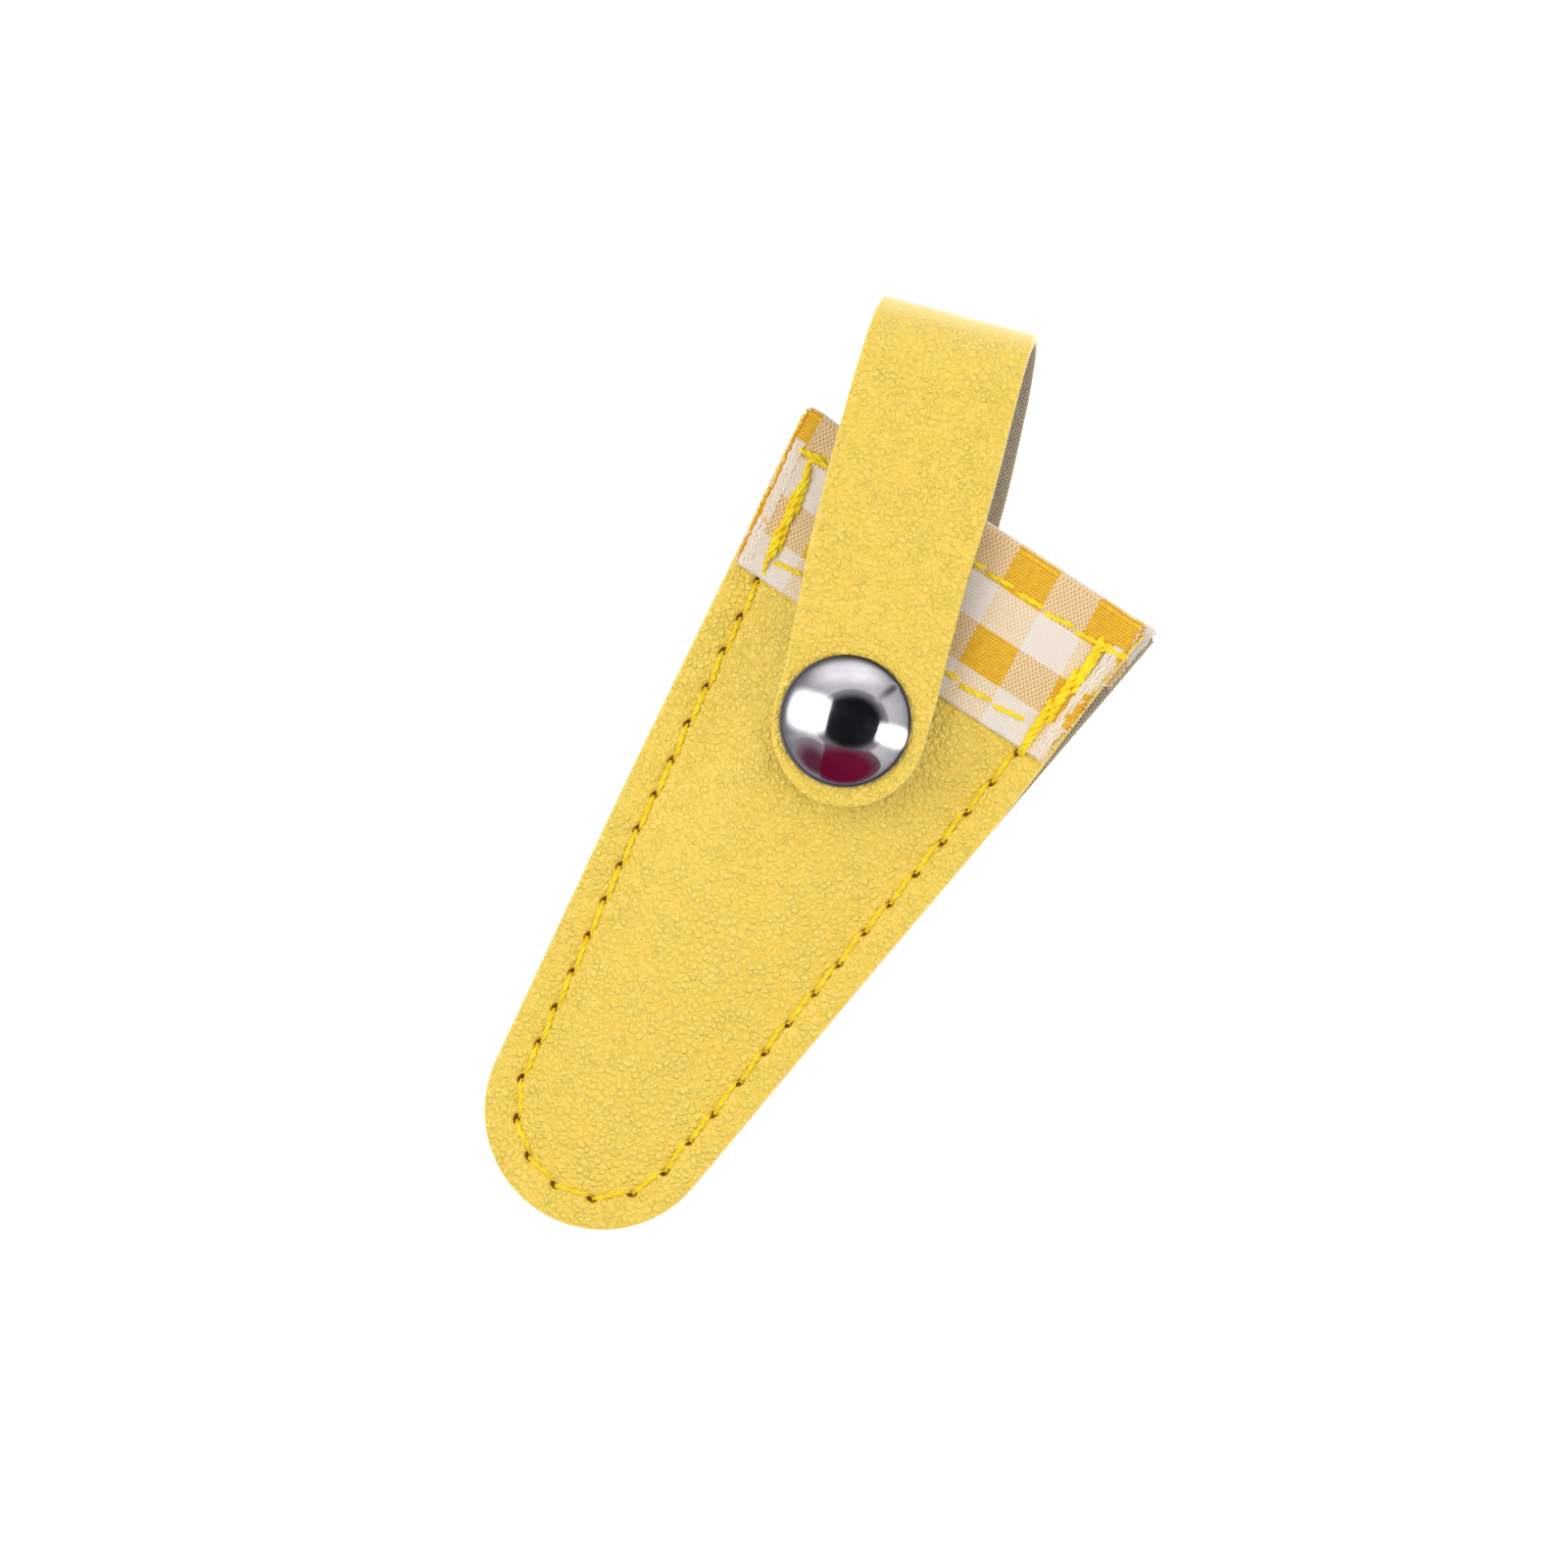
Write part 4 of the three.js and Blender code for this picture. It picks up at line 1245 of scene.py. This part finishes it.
def cap_profile():
    line = [(CAP_LIP_RADIUS, CAP_LIP), (CAP_LIP_RADIUS, CAP_BOTTOM), (CAP_RADIUS - 0.2, CAP_BOTTOM),
            (CAP_RADIUS - 0.06, CAP_BOTTOM + 0.05), (CAP_RADIUS, CAP_BOTTOM + 0.18), (CAP_RADIUS, CAP_EDGE)]
    for i in range(1, CAP_STEPS + 1):
        radius = CAP_RADIUS * math.cos(math.pi / 2 * i / CAP_STEPS)
        shoulder = CAP_SHOULDER * (1 - math.exp(-((CAP_RADIUS - radius) / CAP_SHOULDER_LENGTH)))
        line.append((radius, CAP_EDGE + shoulder + dome(radius, CAP_RADIUS, CAP_DOME)))
    for i in range(CAP_STEPS // 2, -1, -1):
        radius = CAP_INNER_RADIUS * math.cos(math.pi * i / CAP_STEPS)
        line.append((radius, CAP_BOTTOM + 0.5 + dome(radius, CAP_INNER_RADIUS, CAP_INNER_DOME)))
    line += [(CAP_INNER_RADIUS, CAP_LIP), (CAP_LIP_RADIUS, CAP_LIP)]
    return line


turned_piece("cap_dome", cap_profile(), SNAP, CHROME_LOOK, "flap", "snap_cap", 160)
turned_piece("cap_rivet", rounded([
    (0, FLARE), (2.2, FLARE), (2.2, FLARE + 0.2), (POST, FLARE + 0.3), (POST, CAP_BOTTOM),
    (5.2, CAP_BOTTOM), (5.2, CAP_BOTTOM + 0.3), (0, CAP_BOTTOM + 0.3),
]), SNAP, BRASS_LOOK, "flap", "snap_cap_post")
turned_piece("socket_ring", rounded([
    (SOCKET_BORE, SOCKET_BOTTOM + 0.1), (SOCKET_BORE, SOCKET_BOTTOM), (SOCKET_RADIUS - 0.5, SOCKET_BOTTOM),
    (SOCKET_RADIUS, SOCKET_BOTTOM + 0.5), (SOCKET_RADIUS, SOCKET_TOP), (HOLE, SOCKET_TOP), (HOLE, PLATFORM),
    (SOCKET_BORE, PLATFORM), (SOCKET_BORE, SPRING_LEVEL + GROOVE_HALF),
    (SOCKET_GROOVE, SPRING_LEVEL + GROOVE_HALF), (SOCKET_GROOVE, SPRING_LEVEL - GROOVE_HALF),
    (SOCKET_BORE, SPRING_LEVEL - GROOVE_HALF), (SOCKET_BORE, SOCKET_BOTTOM + 0.1),
]), SNAP, PLATED_LOOK, "flap", "snap_socket")
turned_piece("stud_post", rounded([
    (HOLE, STUD_BOTTOM + 0.1), (HOLE, STUD_BOTTOM), (STUD_RADIUS, STUD_BOTTOM),
    (STUD_RADIUS, STUD_BOTTOM + 0.3), (STUD_RADIUS - 0.4, STUD_BOTTOM + 0.5), (STUD_NECK, STUD_BOTTOM + 0.5),
    (STUD_NECK, STUD_TOP - 0.8), (STUD_HEAD, STUD_TOP - 0.4), (STUD_HEAD - 0.1, STUD_TOP - 0.2),
    (STUD_NECK - 0.1, STUD_TOP), (HOLE, STUD_TOP), (HOLE, STUD_BOTTOM + 0.1),
]), SNAP, PLATED_LOOK, "pouch", "snap_stud")
turned_piece("stud_rivet", rounded([
    (EYELET_BORE, EYELET_TOP), (EYELET_BORE, EYELET_BOTTOM), (EYELET_RADIUS, EYELET_BOTTOM),
    (EYELET_RADIUS, EYELET_TOP), (POST, EYELET_TOP), (POST, EYELET_END), (EYELET_BORE, EYELET_END),
    (EYELET_BORE, EYELET_TOP),
]), SNAP, BRASS_LOOK, "pouch", "snap_stud_eyelet")
turned_piece("rivet_disc", rounded([
    (0, 0), (RIVET_RADIUS - 0.5, 0), (RIVET_RADIUS - 0.1, 0.2), (RIVET_RADIUS, 0.45),
    (RIVET_RADIUS, RIVET_TOP), (HOLE, RIVET_TOP), (HOLE, RIVET_FLOOR), (0, RIVET_FLOOR),
]), SNAP, PLATED_LOOK, "pouch", "rear_rivet_cap")
turned_piece("rivet_head", rounded([
    (0, RIVET_FLOOR + 0.1), (POST, RIVET_FLOOR + 0.1), (POST, HEAD), (HEAD_RADIUS, HEAD),
    (HEAD_RADIUS - 0.3, HEAD + 0.5), (0, HEAD + 0.5),
]), SNAP, PLATED_LOOK, "pouch", "rear_rivet_post")

ring = []
for i in range(91):
    turn = math.radians(15 + 330 * i / 90)
    ring.append((SPRING_RADIUS * math.cos(turn), SPRING_RADIUS * math.sin(turn), SPRING_LEVEL))
spring_radii = [0.2, 0.32] + [SPRING_WIRE_RADIUS] * 87 + [0.32, 0.2]
spring_points, spring_faces = tube(strap_place(ring), spring_radii, 14)
make_piece("socket_spring", place(spring_points), spring_faces, STEEL_LOOK, "flap", ["snap_socket_spring"])


# ---- Floor, lights and camera ----

RIGHT = Vector((0.8343, 0.5447, -0.0845)).normalized()
BACK = Vector((0.0735, 0.0420, 0.9964))
BACK = (BACK - RIGHT * BACK.dot(RIGHT)).normalized()
UP = BACK.cross(RIGHT)
FRAME_WIDTH = 147.1 * MM
CAMERA_DISTANCE = 0.9
SENSOR = 36
FLOOR = 3.0
CAP_RIM = Vector(place((0, SNAP_Y, STRAP_BOTTOM + 1.7)))
AIM = CAP_RIM - RIGHT * 5.72 * MM - UP * 5.9 * MM


def facing(direction, distance):
    """A place in the studio that faces the object. direction is (right, up, towards the camera) from it."""
    away = (RIGHT * direction[0] + UP * direction[1] + BACK * direction[2]).normalized()
    return Matrix.LocRotScale(AIM + away * distance, away.to_track_quat("Z", "Y"), None)


def stage_shape(name, rim, matrix, material):
    """A flat shape, as part of the studio."""
    mesh = bpy.data.meshes.new(name)
    mesh.from_pydata([(x, y, 0) for x, y in rim], [], [tuple(range(len(rim)))])
    mesh.materials.append(material)
    card = bpy.data.objects.new(name, mesh)
    card.matrix_world = matrix
    bpy.context.scene.collection.objects.link(card)
    return card


FLOOR_TURN = Vector((0, 0, 1)).to_track_quat("Z", "Y").to_euler()
stage_shape("floor", [(-FLOOR, -FLOOR), (FLOOR, -FLOOR), (FLOOR, FLOOR), (-FLOOR, FLOOR)],
            Matrix.LocRotScale(Vector((0, 0, -0.0002)), FLOOR_TURN, None), floor_material())

camera_data = bpy.data.cameras.new("camera")
camera_data.sensor_width = SENSOR
camera_data.lens = SENSOR * CAMERA_DISTANCE / FRAME_WIDTH
camera = bpy.data.objects.new("camera", camera_data)
camera.matrix_world = Matrix.LocRotScale(
    AIM + BACK * CAMERA_DISTANCE,
    Matrix((RIGHT, UP, BACK)).transposed().to_quaternion(),
    None,
)
bpy.context.scene.collection.objects.link(camera)
bpy.context.scene.camera = camera


def softbox(name, direction, distance, size, power, fade=0.4):
    """An area light, dimmer towards its edges."""
    light = bpy.data.lights.new(name, "AREA")
    light.shape = "RECTANGLE"
    light.size, light.size_y = size
    light.energy = power
    light.use_nodes = True
    s = Shader(tree=light.node_tree)
    across, down, _ = s.split(s.node("NewGeometry", "Parametric", {}))
    glow = 1.0
    for share in (across, down):
        from_edge = s.math("MINIMUM", share, s.math("SUBTRACT", 1.0, share))
        glow = s.times(glow, s.ramp(from_edge, 0.0, fade))
    s.set(s.tree.nodes["Emission"], "Strength", glow)
    lamp = bpy.data.objects.new(name, light)
    lamp.matrix_world = facing(direction, distance)
    bpy.context.scene.collection.objects.link(lamp)


softbox("left_softbox", (-0.68, 0.17, 0.75), 0.9, (0.74, 1.15), 9.8)
softbox("top_softbox", (-0.05, 0.82, 0.64), 1.1, (2.0, 0.75), 3.2)
softbox("right_softbox", (0.7, -0.24, 0.68), 0.9, (0.42, 1.8), 7.2)


def card_material(name, colour, rim, core):
    """A matt card of one colour out to core, and from there changing to another at its rim."""
    s = Shader(name)
    x, y, _ = s.split(s.coordinates("Generated"))
    x, y = s.add(x, -0.5), s.add(y, -0.5)
    from_centre = s.math("SQRT", s.add(s.times(x, x), s.times(y, y)))
    shade = s.colours(s.ramp(from_centre, core, 0.5), colour, rim)
    s.look(Base_Color=shade, Roughness=1.0, Specular_IOR_Level=0.0)
    return s.material


def reflected_card(name, direction, distance, radii, material):
    """An oval card that only reflections see."""
    rim = [(radii[0] * math.cos(TAU * i / 48), radii[1] * math.sin(TAU * i / 48)) for i in range(48)]
    card = stage_shape(name, rim, facing(direction, distance), material)
    card.visible_diffuse = False
    card.visible_shadow = False


BLACK = (0.004, 0.004, 0.005, 1)
reflected_card("dark_card", (-0.02, 0.0, 1.0), 0.87, (0.55, 0.64),
               card_material("black_card", BLACK, srgb(140, 138, 140), 0.32))
reflected_card("warm_card", (-0.16, -0.76, 0.7), 0.9, (0.62, 0.44),
               card_material("maroon_card", srgb(108, 12, 48), srgb(110, 84, 94), 0.28))
reflected_card("window_bar", (0.6, 0.5, 0.6), 0.95, (0.09, 0.42),
               card_material("grey_bar", srgb(90, 88, 90), srgb(190, 188, 190), 0.05))
reflected_card("dim_card", (-0.55, -0.55, 0.52), 0.95, (0.42, 0.36),
               card_material("umber_card", srgb(96, 44, 62), srgb(150, 140, 144), 0.15))

world = bpy.data.worlds.new("studio")
world.use_nodes = True
sky = Shader(tree=world.node_tree)
towards = sky.node("VectorMath", "Value", {0: sky.coordinates("Generated"), 1: BACK}, operation="DOT_PRODUCT")
background = sky.tree.nodes["Background"]
sky.set(background, "Color", (0.98, 0.97, 0.97, 1))
sky.set(background, "Strength", sky.ramp(towards, 0.1, 1.0, 0.2, 0.86))
bpy.context.scene.world = world
bpy.context.scene.view_settings.view_transform = "Standard"
